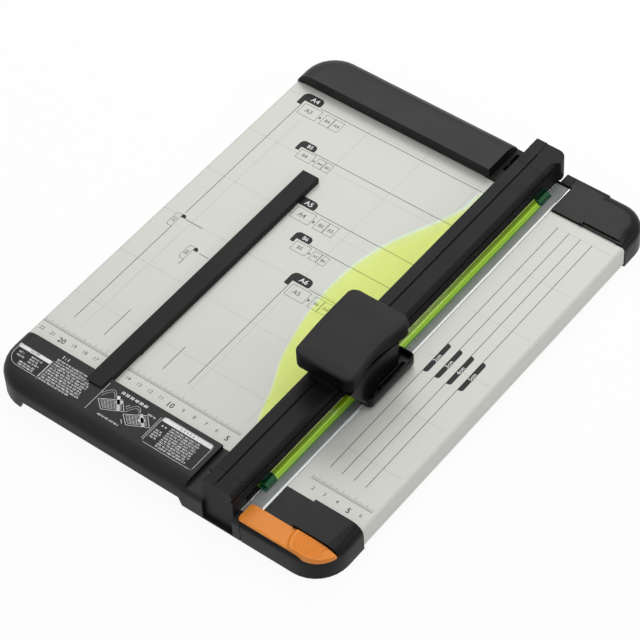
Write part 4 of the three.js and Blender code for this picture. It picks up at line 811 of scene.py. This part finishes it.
# %% Guard column
column_left, column_wall = -4.4, -1.8
column_front, front_lean, column_back = 84.5, 18.0, 126.3
nose_x, rear_x, waist_x, hollow_power = 10.0, 7.1, 5.4, 2.2
column_foot, column_rise, over_mat = 5.2, 26.6, 6.4
column_corner, waist_steps = 2.5, 30
room_left, room_right, room_front, room_back = -3.1, 4.1, 85.5, 114.5


def column_outline(share, flare=0.0):
    front = column_front - front_lean * share
    nose = nose_x + 1.2 * (1 - share) ** 2 + flare
    rear = rear_x + 1.2 * share + flare
    waist = waist_x + flare
    points = [(x, front) for x in (column_left, column_wall, 2.0, 5.0)]
    points += arc(nose - column_corner, front + column_corner, column_corner, -quarter, quarter, 8)
    for i in range(1, waist_steps):
        along = i / waist_steps * 2 - 1
        bulge = (nose if along < 0 else rear) - waist
        y = front + column_corner + (121.5 - front) * i / waist_steps
        points.append((waist + bulge * abs(along) ** hollow_power, y))
    points += arc(rear - column_corner, column_back - column_corner, column_corner, 0.0, quarter, 6)
    points += [(x, column_back) for x in (2.0, column_wall, column_left)]
    return points + [(column_left, y) for y in (115.0, 100.0, 86.0)]


def column_level(share, flare):
    z = column_foot + column_rise * share
    return [at(x, y, max(z, over_mat) if x < -1.7 else z) for x, y in column_outline(share, flare)]


def blade_room(share):
    z = max(column_foot + column_rise * share, over_mat)
    points = []
    for x, y in column_outline(share):
        points.append(at(min(max(x, room_left), room_right), min(max(y, room_front), room_back), z))
    return points


column = [(0, 2.6), (0.015, 1.7), (0.04, 1.0), (0.08, 0.45), (0.13, 0.12), (0.2, 0), (0.4, 0), (0.6, 0),
          (0.8, 0), (0.93, 0.1), (1, 0.35)]
column_rings = [column_level(share, flare) for share, flare in column]
loft(guard_mesh, column_rings + [blade_room(1), blade_room(0)], around=True)
latch_outline = rounded_outline(7.4, 100.5, 11.3, 128.5, [1.0] * 4, 4)
latch_rings = [(5.1, 0), (7.9, 0), (8.3, 0.15), (8.5, 0.5), (8.3, 0.9), (7.9, 1.05), (5.1, 1.1)]
loft(guard_mesh, [level(drawn_in(latch_outline, inset), z) for z, inset in latch_rings], around=True)
made_piece("blade_guard", guard_mesh, guard_black, "carriage", ["blade_cover"])

# %% [markdown]
# The clamp sheet is one moulding of tinted acrylic. Left of the rail it is a thin leaf whose free edge is
# polished round, so the edge gathers light and shows paler than the face. Right of the rail it is a narrow
# strip with a ramp that stiffens it, thickest and deepest in colour next to the rail.
# Both get their colour from a ramp across the sheet, and the ramps hold painted light as well as the tint:
# the leaf's pale edge is a painted glow, and the strip's bright lines and darker bands are painted
# highlights and shade. A weak emission adds a painted glow to both. The leaf's UV map holds how far a point
# is from the free edge, from 0 at the edge to 1 where the pale fade ends, and the strip is measured straight
# across.
# Light that bounces through the sheet would also pick up the white background and make it glow. So only
# what the camera sees directly gets the full tint: for all other rays, and from below, the sheet is nearly
# clear.

# %% Edge-lit materials
def ramp(tree, position, stops):
    made = node(tree, "ValToRGB", {"Fac": position})
    while len(made.color_ramp.elements) < len(stops):
        made.color_ramp.elements.new(0.5)
    for element, (stop, colour) in zip(made.color_ramp.elements, stops):
        element.position = stop
        element.color = colour
    return made.outputs[0]


def tinted(name, place, low, high, stops, cover, rough, glow, **shader):
    made = finish(name, rgb(1, 1, 1), rough, drift=0.03, uneven=rough / 3, **shader)
    tree = made.node_tree
    distance = along_axis(tree, node(tree, "TexCoord").outputs[place], "X")
    depth = ranged(tree, distance, low, high)
    shade = multiply_base(made, ramp(tree, depth, stops))
    tint = ramp(tree, depth, [(stop, rgb(value, value, value)) for stop, value in cover])
    by_ray = between(tree, node(tree, "LightPath").outputs["Is Camera Ray"], low=0.12, high=1.0)
    by_side = between(tree, node(tree, "NewGeometry").outputs["Backfacing"], low=by_ray, high=0.02)
    light_from_inside(made, shade, glow, product(tree, tint, by_side))
    return made


leaf_green = tinted(
    "edge_lit_leaf", "UV", low=0.0, high=1.0,
    # the pale stops at the free edge are a painted edge glow
    stops=[(0.0, rgb(0.72, 1.0, 0.90)), (0.2, rgb(0.80, 1.0, 0.74)), (0.40, rgb(0.80, 0.97, 0.20)),
           (1.0, rgb(0.79, 0.95, 0.12))],
    cover=[(0.0, 0.9), (0.3, 0.97), (1.0, 0.97)],
    rough=0.02, glow=0.11, Transmission_Weight=1.0, IOR=1.1, Specular_IOR_Level=0.3,
)
strip_green = tinted(
    "edge_lit_strip", "Object", low=at(-8, 0).x, high=at(-1.5, 0).x,
    # these stops hold painted highlight lines and shaded bands as well as the tint
    stops=[(0.0, rgb(0.10, 0.17, 0.01)), (0.13, rgb(0.62, 0.75, 0.22)), (0.19, rgb(0.10, 0.18, 0.002)),
           (0.42, rgb(0.15, 0.26, 0.003)), (0.52, rgb(0.36, 0.56, 0.02)), (0.58, rgb(0.50, 0.76, 0.10)),
           (0.66, rgb(0.30, 0.52, 0.02)), (0.90, rgb(0.34, 0.62, 0.05)), (1.0, rgb(0.10, 0.28, 0.03))],
    cover=[(0.0, 0.95), (0.6, 0.95), (1.0, 0.8)],
    rough=0.10, glow=0.12, Specular_IOR_Level=0.1,
)
print("leaf and strip")

# %% [markdown]
# The leaf's outline is a spline through points measured on the photograph, given as shares of the sheet's
# length and of the leaf's reach. Catmull-Rom splines pass through their points, so the measured numbers can
# be used as they are. Across the outline the leaf has one section: a lower corner, the round edge and a
# flat top that goes back to its root under the rail.

# %% Clamp leaf
sheet_front, sheet_length, leaf_reach = -12, 335, -79.5
leaf_shares = [(0.09, 0.38), (0.115, 0.51), (0.143, 0.585), (0.215, 0.692), (0.287, 0.83), (0.358, 0.912),
               (0.43, 0.975), (0.52, 1), (0.603, 0.975), (0.693, 0.88), (0.782, 0.711), (0.857, 0.592),
               (0.9, 0.583), (0.925, 0.53), (0.94, 0.38)]
leaf_points = [Vector((leaf_reach * out, sheet_front + sheet_length * share)) for share, out in leaf_shares]
leaf_root, sheet_bottom, sheet_top = -31.0, 0.3, 2.3


def spline(points, steps):
    curve = []
    last = len(points) - 1
    for step in range(steps + 1):
        position = step / steps * last
        i = min(int(position), last - 1)
        t = position - i
        p0, p1, p2, p3 = points[max(i - 1, 0)], points[i], points[i + 1], points[min(i + 2, last)]
        v0, v1 = (p2 - p0) / 2, (p3 - p1) / 2
        cubic = 2 * p1 - 2 * p2 + v0 + v1
        square = 3 * p2 - 3 * p1 - 2 * v0 - v1
        curve.append(cubic * t ** 3 + square * t ** 2 + v0 * t + p1)
    return curve


leaf_edge = spline(leaf_points, 140)
round_edge = [(0.0, 1.5), (0.12, 1.95), (0.45, 2.22)]
top_insets = (0.9, 1.8, 3.5, 6.0, 9.0, 13.0)
front_fade, rear_fade = 2.8, 10.3
leaf_mesh = bmesh.new()
edge_uv = leaf_mesh.loops.layers.uv.new("from_edge")
columns = []
for i, point in enumerate(leaf_edge):
    along = (leaf_edge[min(i + 1, len(leaf_edge) - 1)] - leaf_edge[max(i - 1, 0)]).normalized()
    fade = front_fade + (rear_fade - front_fade) * clamped((point.y - 105) / 120) ** 1.3
    section = [(0.35, sheet_bottom, 0.1), (0.0, 0.8, 0.0)]
    section += [(inset, z, inset / fade) for inset, z in round_edge]
    section += [(inset, sheet_top, min(1.0, inset / fade)) for inset in top_insets]
    column = [(leaf_mesh.verts.new(at(leaf_root, point.y, sheet_bottom)), 1.0)]
    for inset, z, share in section:
        x, y = point.x + along.y * inset, point.y - along.x * inset
        column.append((leaf_mesh.verts.new(at(min(x, leaf_root), y, z)), share))
    column.append((leaf_mesh.verts.new(at(leaf_root, point.y, sheet_top)), 1.0))
    columns.append(column)
for left, right in zip(columns, columns[1:]):
    for i in range(len(left)):
        j = (i + 1) % len(left)
        quad = [left[i], right[i], right[j], left[j]]
        face = leaf_mesh.faces.new([vertex for vertex, share in quad])
        for loop, (vertex, share) in zip(face.loops, quad):
            loop[edge_uv].uv = (share, vertex.co.y)
made_piece("clamp_leaf", leaf_mesh, leaf_green, "rail")

# %% [markdown]
# The strip keeps the solid's section: a flat foot, a bevel towards the blade, a ramp and a flat rib beside
# the rail. Small chamfers at the rib's top and at the bevel catch some light, and the two bright lines on
# them are painted highlights in the strip's colour ramp. At both ends the sheet runs on flat, under the end
# clips, and has their dark green there. The same mesh holds the plate under the rail and the spine that the
# rail sits on.

# %% Clamp strip
strip_end, rib_x = 309.0, -8.0
foot_section = [(-3.5, 2.2), (-2.0, 1.75), (-1.6, 1.55), (-1.5, 1.35), (-1.5, 0.4), (-1.6, sheet_bottom)]
strip_section = [(rib_x, sheet_top), (rib_x, 5.35), (-7.8, 5.55), (-7.3, 5.6), (-6.95, 5.55), (-6.7, 5.35),
                 (-5.4, 3.9), (-4.2, 2.65), (-3.8, 2.35)] + foot_section + [(rib_x, sheet_bottom)]
tail_section = [(rib_x, sheet_bottom), (rib_x, sheet_top), (-3.8, sheet_top)] + foot_section
plate_section = [(-31.2, sheet_bottom), (-31.2, sheet_top), (rib_x, sheet_top), (rib_x, sheet_bottom)]
spine_section = [(-25.0, 2.2), (-25.0, 7.8), (-27.0, 7.8), (-27.0, 9.6), (-12.6, 9.6), (-12.6, 7.8),
                 (-14.6, 7.8), (-14.6, 2.2)]
strip_mesh = bmesh.new()
swept(strip_mesh, strip_section, (0.0, 0.4, 77.25, 154.5, 231.75, 308.6, strip_end))
for y0, y1 in ((sheet_front, 0.2), (308.8, sheet_front + sheet_length)):
    swept(strip_mesh, tail_section, (y0, y0 + 0.3, y1 - 0.3, y1))
swept(strip_mesh, plate_section, (sheet_front, 310.0))
swept(strip_mesh, spine_section, (0.0, strip_end))
strip = made_piece("clamp_strip", strip_mesh, strip_green, "rail", ["clamp_plate"])
front_tail, rear_tail = at(-8.1, -0.5), at(-8.1, 309.5)


def is_tail(middle):
    return middle.x > front_tail.x and not front_tail.y <= middle.y <= rear_tail.y


also_finish(strip, dark_green, is_tail)

# %% [markdown]
# Right of the mat runs the channel's polished lip, the bright line beside the cut. It is drawn once more as
# a strip with broken edges, so that the line stays even from end to end. Its bright line is a painted
# reflection: a pale matt colour stands in for what the polished metal reflects.

# %% Channel lip
lip_section = [(4.4, -0.4), (4.4, 0.38), (4.5, 0.46), (6.0, 0.46), (6.1, 0.38), (6.1, -0.4)]
lip_mesh = bmesh.new()
swept(lip_mesh, lip_section, (-24.6, 100.0, 200.0, 319.0))
made_piece("channel_lip", lip_mesh, lip_painted_reflection, "base")

# %% [markdown]
# The mat lock is one orange moulding: a flat tongue over the mat's front end, and a leaf-shaped grip with
# curved ribs for the thumb. Each ring of this loft is a section across the slider. The ribs come from one
# formula: a cosine of the distance to a parabola, so that they bend like the grip's rear end.

# %% Mat lock
tongue_left, tongue_top, tongue_corner = -3.0, 2.0, 2.5
grip_left, grip_top, grip_tip = 32.0, 3.7, 69.3
slider_front, slider_rear, slider_middle = -42.0, -25.6, -29.0
nose_left, nose_radius = 49.93, 20.0
bend_left, bend_length, bend_depth = 58.0, 11.6, 1.5
rise_left, rise_length, rise_curve = 34.0, 2.2, 0.03
slope_left, slope_fall = 44.0, 2.3
rib_start, rib_count, rib_pitch, rib_depth = 4.0, 8, 3.0, 0.7
across_steps, along_steps = 32, 100


def slider_edges(x):
    corner = max(0.0, tongue_corner - (x - tongue_left))
    round_off = tongue_corner - math.sqrt(tongue_corner ** 2 - corner ** 2)
    narrow = 0.35 * clamped((36.0 - x) / 2.0)
    front, rear = slider_front + round_off, slider_rear - narrow - round_off
    if x > nose_left:
        front = slider_front + nose_radius - math.sqrt(max(nose_radius ** 2 - (x - nose_left) ** 2, 0))
    if x > bend_left:
        rear = slider_rear - bend_depth * ((x - bend_left) / bend_length) ** 2
    return front, max(rear, front + 0.2)


def slider_top(x, y, from_edge):
    along = x - rise_left - rise_curve * (y - slider_middle) ** 2
    rise = clamped(along / rise_length)
    swell = rise * rise * (3 - 2 * rise)
    grip = grip_top - slope_fall * clamped((x - slope_left) / (grip_tip - slope_left)) ** 2
    phase = (along - rib_start) / rib_pitch
    rib = rib_depth * (0.5 - 0.5 * math.cos(2 * math.pi * phase)) if 0 < phase < rib_count else 0
    rib *= clamped((from_edge - 0.8) / 1.2)
    drop = (0.3 + 0.5 * swell) * (1 - min(from_edge / 1.1, 1)) ** 2
    return tongue_top + (grip - tongue_top - rib) * swell - drop


def slider_section(x, bottom):
    front, rear = slider_edges(x)
    points = [at(x, front, bottom)]
    for i in range(across_steps + 1):
        share = i / across_steps
        if i in (0, 1, across_steps - 1, across_steps):
            share = 0.5 - 0.5 * math.cos(math.pi * share)
        y = front + (rear - front) * share
        points.append(at(x, y, slider_top(x, y, min(y - front, rear - y))))
    return points + [at(x, rear, bottom)]


tongue_xs = [tongue_left + tongue_corner * (1 - math.cos(i * math.pi / 14)) for i in range(8)]
tongue_xs += list(range(2, 31, 4)) + [grip_left]
grip_xs = [grip_left + (grip_tip - grip_left) * i / along_steps for i in range(along_steps + 1)]
slider_mesh = bmesh.new()
loft(slider_mesh, [slider_section(x, 0.3) for x in tongue_xs] + [slider_section(x, -1.7) for x in grip_xs])
made_piece("slider", slider_mesh, orange, "lock", ["mat_lock"])

# %% [markdown]
# The deck is a ruler: paper sizes, a grid and scales are screen-printed on it. Print has no thickness to
# the eye, but it has sharp edges that a texture would blur, so every line and letter is a real flat shape a
# few hundredths of a millimetre above the paint. All shapes of one ink go into one mesh.

# %% Ink colours
def ink(name, *colour):
    return finish(name, rgb(*colour), 0.5, drift=0.12, drift_size=3.0, uneven=0.1, Specular_IOR_Level=0.2)


dark_ink = ink("dark_ink", 0.013, 0.013, 0.014)
grey_ink = ink("grey_ink", 0.15, 0.15, 0.152)
faint_ink = ink("faint_ink", 0.44, 0.44, 0.42)
white_ink = ink("white_ink", 0.80, 0.80, 0.79)
print("four inks")

# %% [markdown]
# One small class does the printing. It collects patches, bars, strokes and words of one ink at one height,
# then lays them on the model as a single piece that rides with the part under it.
# Text starts as Blender's own font and is turned into a mesh that is laid down the same way.

# %% Drawing with ink
class Print:
    def __init__(self, name, height, material, slot="deck_paint"):
        self.name, self.height, self.material, self.slot = name, height, material, slot
        self.mesh = bmesh.new()

    def patch(self, points):
        face = self.mesh.faces.new([self.mesh.verts.new(at(x, y, self.height)) for x, y in points])
        face.normal_update()
        if face.normal.z < 0:
            face.normal_flip()

    def bar(self, x0, y0, x1, y1):
        self.patch([(x0, y0), (x1, y0), (x1, y1), (x0, y1)])

    def stroke(self, points, width, closed=False):
        run = points + points[:1] if closed else points
        for (ax, ay), (bx, by) in zip(run, run[1:]):
            length = math.hypot(bx - ax, by - ay) or 1
            dx, dy = (bx - ax) / length * width / 2, (by - ay) / length * width / 2
            self.patch([(ax - dx - dy, ay - dy + dx), (ax - dx + dy, ay - dy - dx),
                        (bx + dx + dy, by + dy - dx), (bx + dx - dy, by + dy + dx)])

    def words(self, text, x, y, size, turned=0.0, align="CENTER", bold=0.0):
        data = bpy.data.curves.new("words", "FONT")
        data.body = text
        data.size = mm(size)
        data.align_x = align
        data.align_y = "CENTER"
        data.offset = mm(bold)
        data.resolution_u = 3
        holder = in_scene("words", data)
        bpy.context.view_layer.update()
        shape = bpy.data.meshes.new_from_object(holder.evaluated_get(bpy.context.evaluated_depsgraph_get()))
        turn = Matrix.Rotation(math.radians(turned), 4, "Z")
        shape.transform(Matrix.Translation(at(x, y, self.height)) @ turn)
        self.mesh.from_mesh(shape)
        bpy.data.objects.remove(holder)
        bpy.data.curves.remove(data)
        bpy.data.meshes.remove(shape)

    def lay(self):
        data = bpy.data.meshes.new(self.name)
        self.mesh.to_mesh(data)
        self.mesh.free()
        data.materials.append(self.material)
        piece = in_scene(self.name, data)
        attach(piece, "base")
        print(self.name, "has", len(data.polygons), "faces")


dark = Print("print_dark", 0.05, dark_ink)
grey = Print("print_grey", 0.035, grey_ink)
faint = Print("print_faint", 0.02, faint_ink)
white = Print("print_white", 0.075, white_ink)
line_width, thin_width, box_width = 0.42, 0.22, 0.34


def upright(layer, x, y0, y1, width=line_width):
    layer.bar(x - width / 2, y0, x + width / 2, y1)


def across(layer, x0, x1, y, width=line_width):
    layer.bar(x0, y - width / 2, x1, y + width / 2)


# %% [markdown]
# Each paper size has a corner tab: a black flag with the size's name, a rounded back, and a small flap that
# hangs over its corner. Under it, open boxes say which larger sheets fold or cut down to it. Two sizes of
# flag are used, so one function draws them all from the corner of the sheet and a scale.

# %% Paper corner tabs
def corner_tab(x, y, scale, title, from_sheet, folded):
    def placed_here(points):
        return [(x + u * scale, y + v * scale) for u, v in points]

    def write(layer, text, u, v, size, bold):
        layer.words(text, x + u * scale, y + v * scale, size * scale, bold=bold)

    flag = [(-3.2, -5.2), (-4.1, -4.9), (-4.4, -4.2)]
    flag += arc(0.4, 3.5, 4.8, math.pi, -quarter, 8) + arc(9.8, 3.9, 4.4, quarter, -quarter, 6)
    flag += [(14.2, 1.2), (13.2, 0), (0, 0), (0, -5.2)]
    dark.patch(placed_here(flag))
    write(white, title, 7.2, 3.9, 6.0, 0.08)
    grey.stroke(placed_here(rounded_outline(2.3, -13.5, 19, -2, [0.8] * 4, 2)), 0.36, closed=True)
    write(grey, from_sheet, 9.6, -7.8, 5.6, 0.05)
    dark.patch(placed_here([(20.1, -9.8), (21.9, -8.4), (20.1, -7.0)]))
    for left, name in zip((23.3, 32.0), folded):
        box = [(left, -13.5), (left + 8.3, -13.5), (left + 8.3, -2.6), (left, -2.6)]
        grey.stroke(placed_here(box), box_width, closed=True)
        write(grey, name, left + 4.2, -8.2, 4.2, 0.06)


corner_tab(-210, 297, 1.0, "A4", "A3", ("B4", "A4"))
corner_tab(-182, 257, 0.8, "B5", "B4", ("A4", "B5"))
corner_tab(-148.5, 210, 1.0, "A5", "A4", ("B5", "A5"))
corner_tab(-128, 182, 0.8, "B6", "B5", ("A5", "B6"))
corner_tab(-105, 148, 1.0, "A6", "A5", ("B6", "A6"))
for x, y0, y1 in ((-210, 30, 138.1), (-210, 154.7, 292), (-182, 30, 59), (-128, 30, 55), (-105, 30, 143),
                  (-148.2, 30, 205), (-182.1, 112.8, 118.1)):
    upright(dark, x, y0, y1)
for x0, y in ((-195, 297), (-170.5, 257), (-134, 210), (-116.5, 182), (-90, 148)):
    across(dark, x0, -20, y)
print("five paper corners")

# %% [markdown]
# Two rounded marks on the left belong to the same sheets when they are turned: each has a thin outline with
# the size's name read from the side, a black quarter dot at its shoulder and a short line to the right.

# %% Marks for turned sheets
def turned_mark(outline, title, dot, stub):
    x0, y0, x1, y1 = outline
    grey.stroke(rounded_outline(x0, y0, x1, y1, [2.2, 0.6, 0.6, 2.2], 5), box_width, closed=True)
    grey.words(title, (x0 + x1) / 2, (y0 + y1) / 2, 4.4, turned=90)
    dark.patch(rounded_outline(*dot, [0, 0, 2.6, 1.0], 6))
    across(dark, *stub)


turned_mark((-215.2, 138.2, -210.4, 152.0), "A5", (-210.4, 149.4, -206.5, 152.7), (-205.5, -190.1, 149.3))
turned_mark((-187.1, 118.1, -182.3, 132.0), "B6", (-182.0, 129.0, -178.5, 132.5), (-176.3, -167.3, 129.1))
print("two turned marks")

# %% [markdown]
# The grid is printed so pale that it never disturbs a cut: one line every 50 mm both ways. The scales along
# the front fence have a tick for every millimetre, longer at 5 and 10, and numerals that are larger at 5,
# 10 and 20. On the right, four lines mark strips of 2 to 5 cm.

# %% Grid, scales and strip lines
for x in (-200, -150, -100, -50):
    upright(faint, x, 26, 308, thin_width)
for y in range(50, 301, 50):
    across(faint, -227, -9, y, thin_width)
    across(faint, 13.4, 65.9, y, thin_width)
scale_y, scale_width, tick_width = 15.4, 0.24, 0.17


def scale_line(start, end, count_from, count_to, numerals):
    across(dark, start, end, scale_y, scale_width)
    for tick in range(count_from, count_to + 1):
        length = 4.4 if tick % 10 == 0 else 3.4 if tick % 5 == 0 else 2.2
        upright(dark, math.copysign(tick, start), scale_y, scale_y + length, tick_width)
    for number, x, y in numerals:
        if number in (5, 10, 20):
            dark.words(str(number), x, y, 6.2, bold=0.08)
        else:
            grey.words(str(number), x, y, 4.4, bold=0.02)


left_numbers = [(n, -10 * n - 2.4, 9.3) for n in range(22, 5, -1) if n not in (20, 10)]
left_numbers += [(20, -202.8, 8.0), (10, -103.0, 8.0), (5, -52.4, 8.0)]
scale_line(-226.7, -47, 47, 226, left_numbers)
right_numbers = [(2, 21.5, 9.0), (3, 31.2, 9.2), (4, 41.8, 9.2), (5, 52.3, 7.6), (6, 61.7, 9.2)]
scale_line(14.8, 66.4, 15, 66, right_numbers)
for number in (2, 3, 4, 5):
    x = 10 * number
    upright(dark, x, 30, 300)
    tab = [(x, 135)] + arc(x + 1.2, 137.2, 2.6, -quarter, quarter, 4, tall=2.2)
    tab += arc(x + 1.2, 162.8, 2.6, 0.0, quarter, 4, tall=2.2) + [(x, 165)]
    dark.patch(tab)
    white.words(f"{number}cm", x + 2.0, 150, 4.3, turned=90, bold=0.05)
print("grid, two scales and four strip lines")

# %% [markdown]
# The raised front base carries a band of white print: a size table, lines of small type and two diagrams of
# the machine. On this model the print is generic: it keeps the layout of such a band, its bars, frames and
# lines of type, and every line is made of plain numbers.
# A line of type is given by its left end, and by where each row below it ends on the right.

# %% Print on the front base
base_ink = Print("print_base_white", 4.05, white_ink, slot="black_plastic")
base_dark = Print("print_base_dark", 4.08, hollow_black, slot="black_plastic")
small_bold, title_bold = 0.03, 0.12


def panel_frame(x0, y0, x1, y1, radii):
    base_ink.stroke(rounded_outline(x0, y0, x1, y1, radii, 6), 0.3, closed=True)


def title_bar(x0, y0, x1, y1, title):
    base_ink.patch(rounded_outline(x0, y0, x1, y1, [0.9] * 4, 3))
    base_dark.words(title, (x0 + x1) / 2, (y0 + y1) / 2 - 0.1, 2.6, bold=small_bold)


def digits(count, seed):
    text = ""
    value = seed
    while len(text) < count:
        value = (value * 37 + 11) % 9973
        text += str(1000 + value)[:2 + value % 3] + " "
    return text[:count].strip()


def number_lines(left, rights, top, pitch, size=2.1):
    for row, right in enumerate(rights):
        text = digits(int((right - left) / (size * 0.53)), row * 31 + int(abs(left)))
        base_ink.words(text, left, top - pitch * row, size, align="LEFT", bold=small_bold)


panel_frame(-221.8, -29.6, -192.9, -12.2, (10.0, 0.6, 0.6, 2.0))
title_bar(-222.4, -15.4, -193.2, -12.0, "210 297")
number_lines(-218.5, [-212.0, -209.0], -18.6, 3.0)
number_lines(-207.5, [-195.5, -196.5, -194.5], -17.9, 2.4)
number_lines(-212.5, [-194.6, -195.6], -25.6, 2.2)

base_ink.bar(-192.5, -31, -192.2, -11.8)
base_ink.words("1 : 1", -186.5, -5.2, 3.6, bold=title_bold)
number_lines(-191.2, [-157.0, -154.0, -152.0, -150.2, -150.6, -153.0, -150.2, -151.0, -150.4, -158.0],
             -8.9, 2.28)

base_ink.bar(-147.2, -31, -146.9, -3.7)
base_ink.words("10 20 30 40 50 60", -123.6, -5.2, 3.2, bold=title_bold)
print("size panel and number lines")

# %% [markdown]
# The middle of the band shows two steps as pictures: a sheet pushed against the fence with the rail up,
# then the rail down and the handle drawn along it. Each is a board in oblique view with its grid, a black
# rail, a handle and the line of a hand, all drawn with strokes in one local frame.

# %% Pictograms on the front base
def pictogram(x, y, raised):
    def moved(points):
        return [(x + 1.1 * u, y + 1.1 * v) for u, v in points]

    base_ink.stroke(moved([(0.6, 6.4), (7.4, 0.8), (21.0, 7.6), (14.2, 14.4)]), 0.34, closed=True)
    base_ink.stroke(moved([(2.6, 6.6), (7.6, 2.4), (18.6, 7.8), (13.8, 12.8)]), 0.22, closed=True)
    for share in [i / 6 for i in range(1, 6)]:
        row = [(2.6 + 5 * share, 6.6 - 4.2 * share), (13.8 + 4.8 * share, 12.8 - 5 * share)]
        column = [(2.6 + 11.2 * share, 6.6 + 6.2 * share), (7.6 + 11 * share, 2.4 + 5.4 * share)]
        base_ink.stroke(moved(row), 0.2)
        base_ink.stroke(moved(column), 0.2)
    lift = 2.4 if raised else 0.0
    base_ink.patch(moved([(9.2, 12.4 + lift), (11.0, 13.6 + lift), (18.4, 6.2), (16.8, 5.2)]))
    base_ink.patch(moved(rounded_outline(11.2, 7.6 + lift, 15.6, 11.0 + lift, [1.1] * 4, 3)))
    hand = [(-0.6 + 9.5 * i / 10, 10.5 + 6.2 * math.sin(math.pi * i / 12) + lift * 0.4) for i in range(11)]
    base_ink.stroke(moved(hand), 0.26)
    base_ink.stroke(moved([(u * 0.86 + 1.2, v - 1.7) for u, v in hand]), 0.26)
    arrow = [(19.4, 11.4), (20.6, 13.8)] if raised else [(4.6, 0.2), (2.2, 2.4)]
    base_ink.stroke(moved(arrow), 0.4)


pictogram(-145.8, -26.0, True)
pictogram(-122.6, -26.6, False)
number_lines(-137.0, [-114.0], -29.4, 2.2)
number_lines(-108.0, [-100.0], -9.6, 2.2)
base_ink.bar(-98.5, -28, -98.2, -6.5)
print("two pictograms")

# %% [markdown]
# The last panel is a ruled box of small type under a white bar. Its lines start in two columns, as such
# tables do. With it all print is drawn, and each ink is laid on the model.

# %% Table on the front base
panel_frame(-96.9, -30.0, -52.8, -4.4, [1.6] * 4)
title_bar(-96.4, -8.2, -53.4, -4.7, "2  3  4  5  6")
for x in (-93.0, -90.2):
    base_ink.patch(circle(x, -11.6, 0.7, 8))
number_lines(-86.5, [-56.0, -54.6, -55.4], -10.2, 2.2)
number_lines(-95.2, [-88.0, -87.4, -88.4, -88.0], -16.8, 2.2, 2.0)
number_lines(-86.5, [-54.8, -56.2, -54.6, -55.0, -57.0, -54.8], -16.8, 2.2)
for layer in (dark, grey, faint, white, base_ink, base_dark):
    layer.lay()
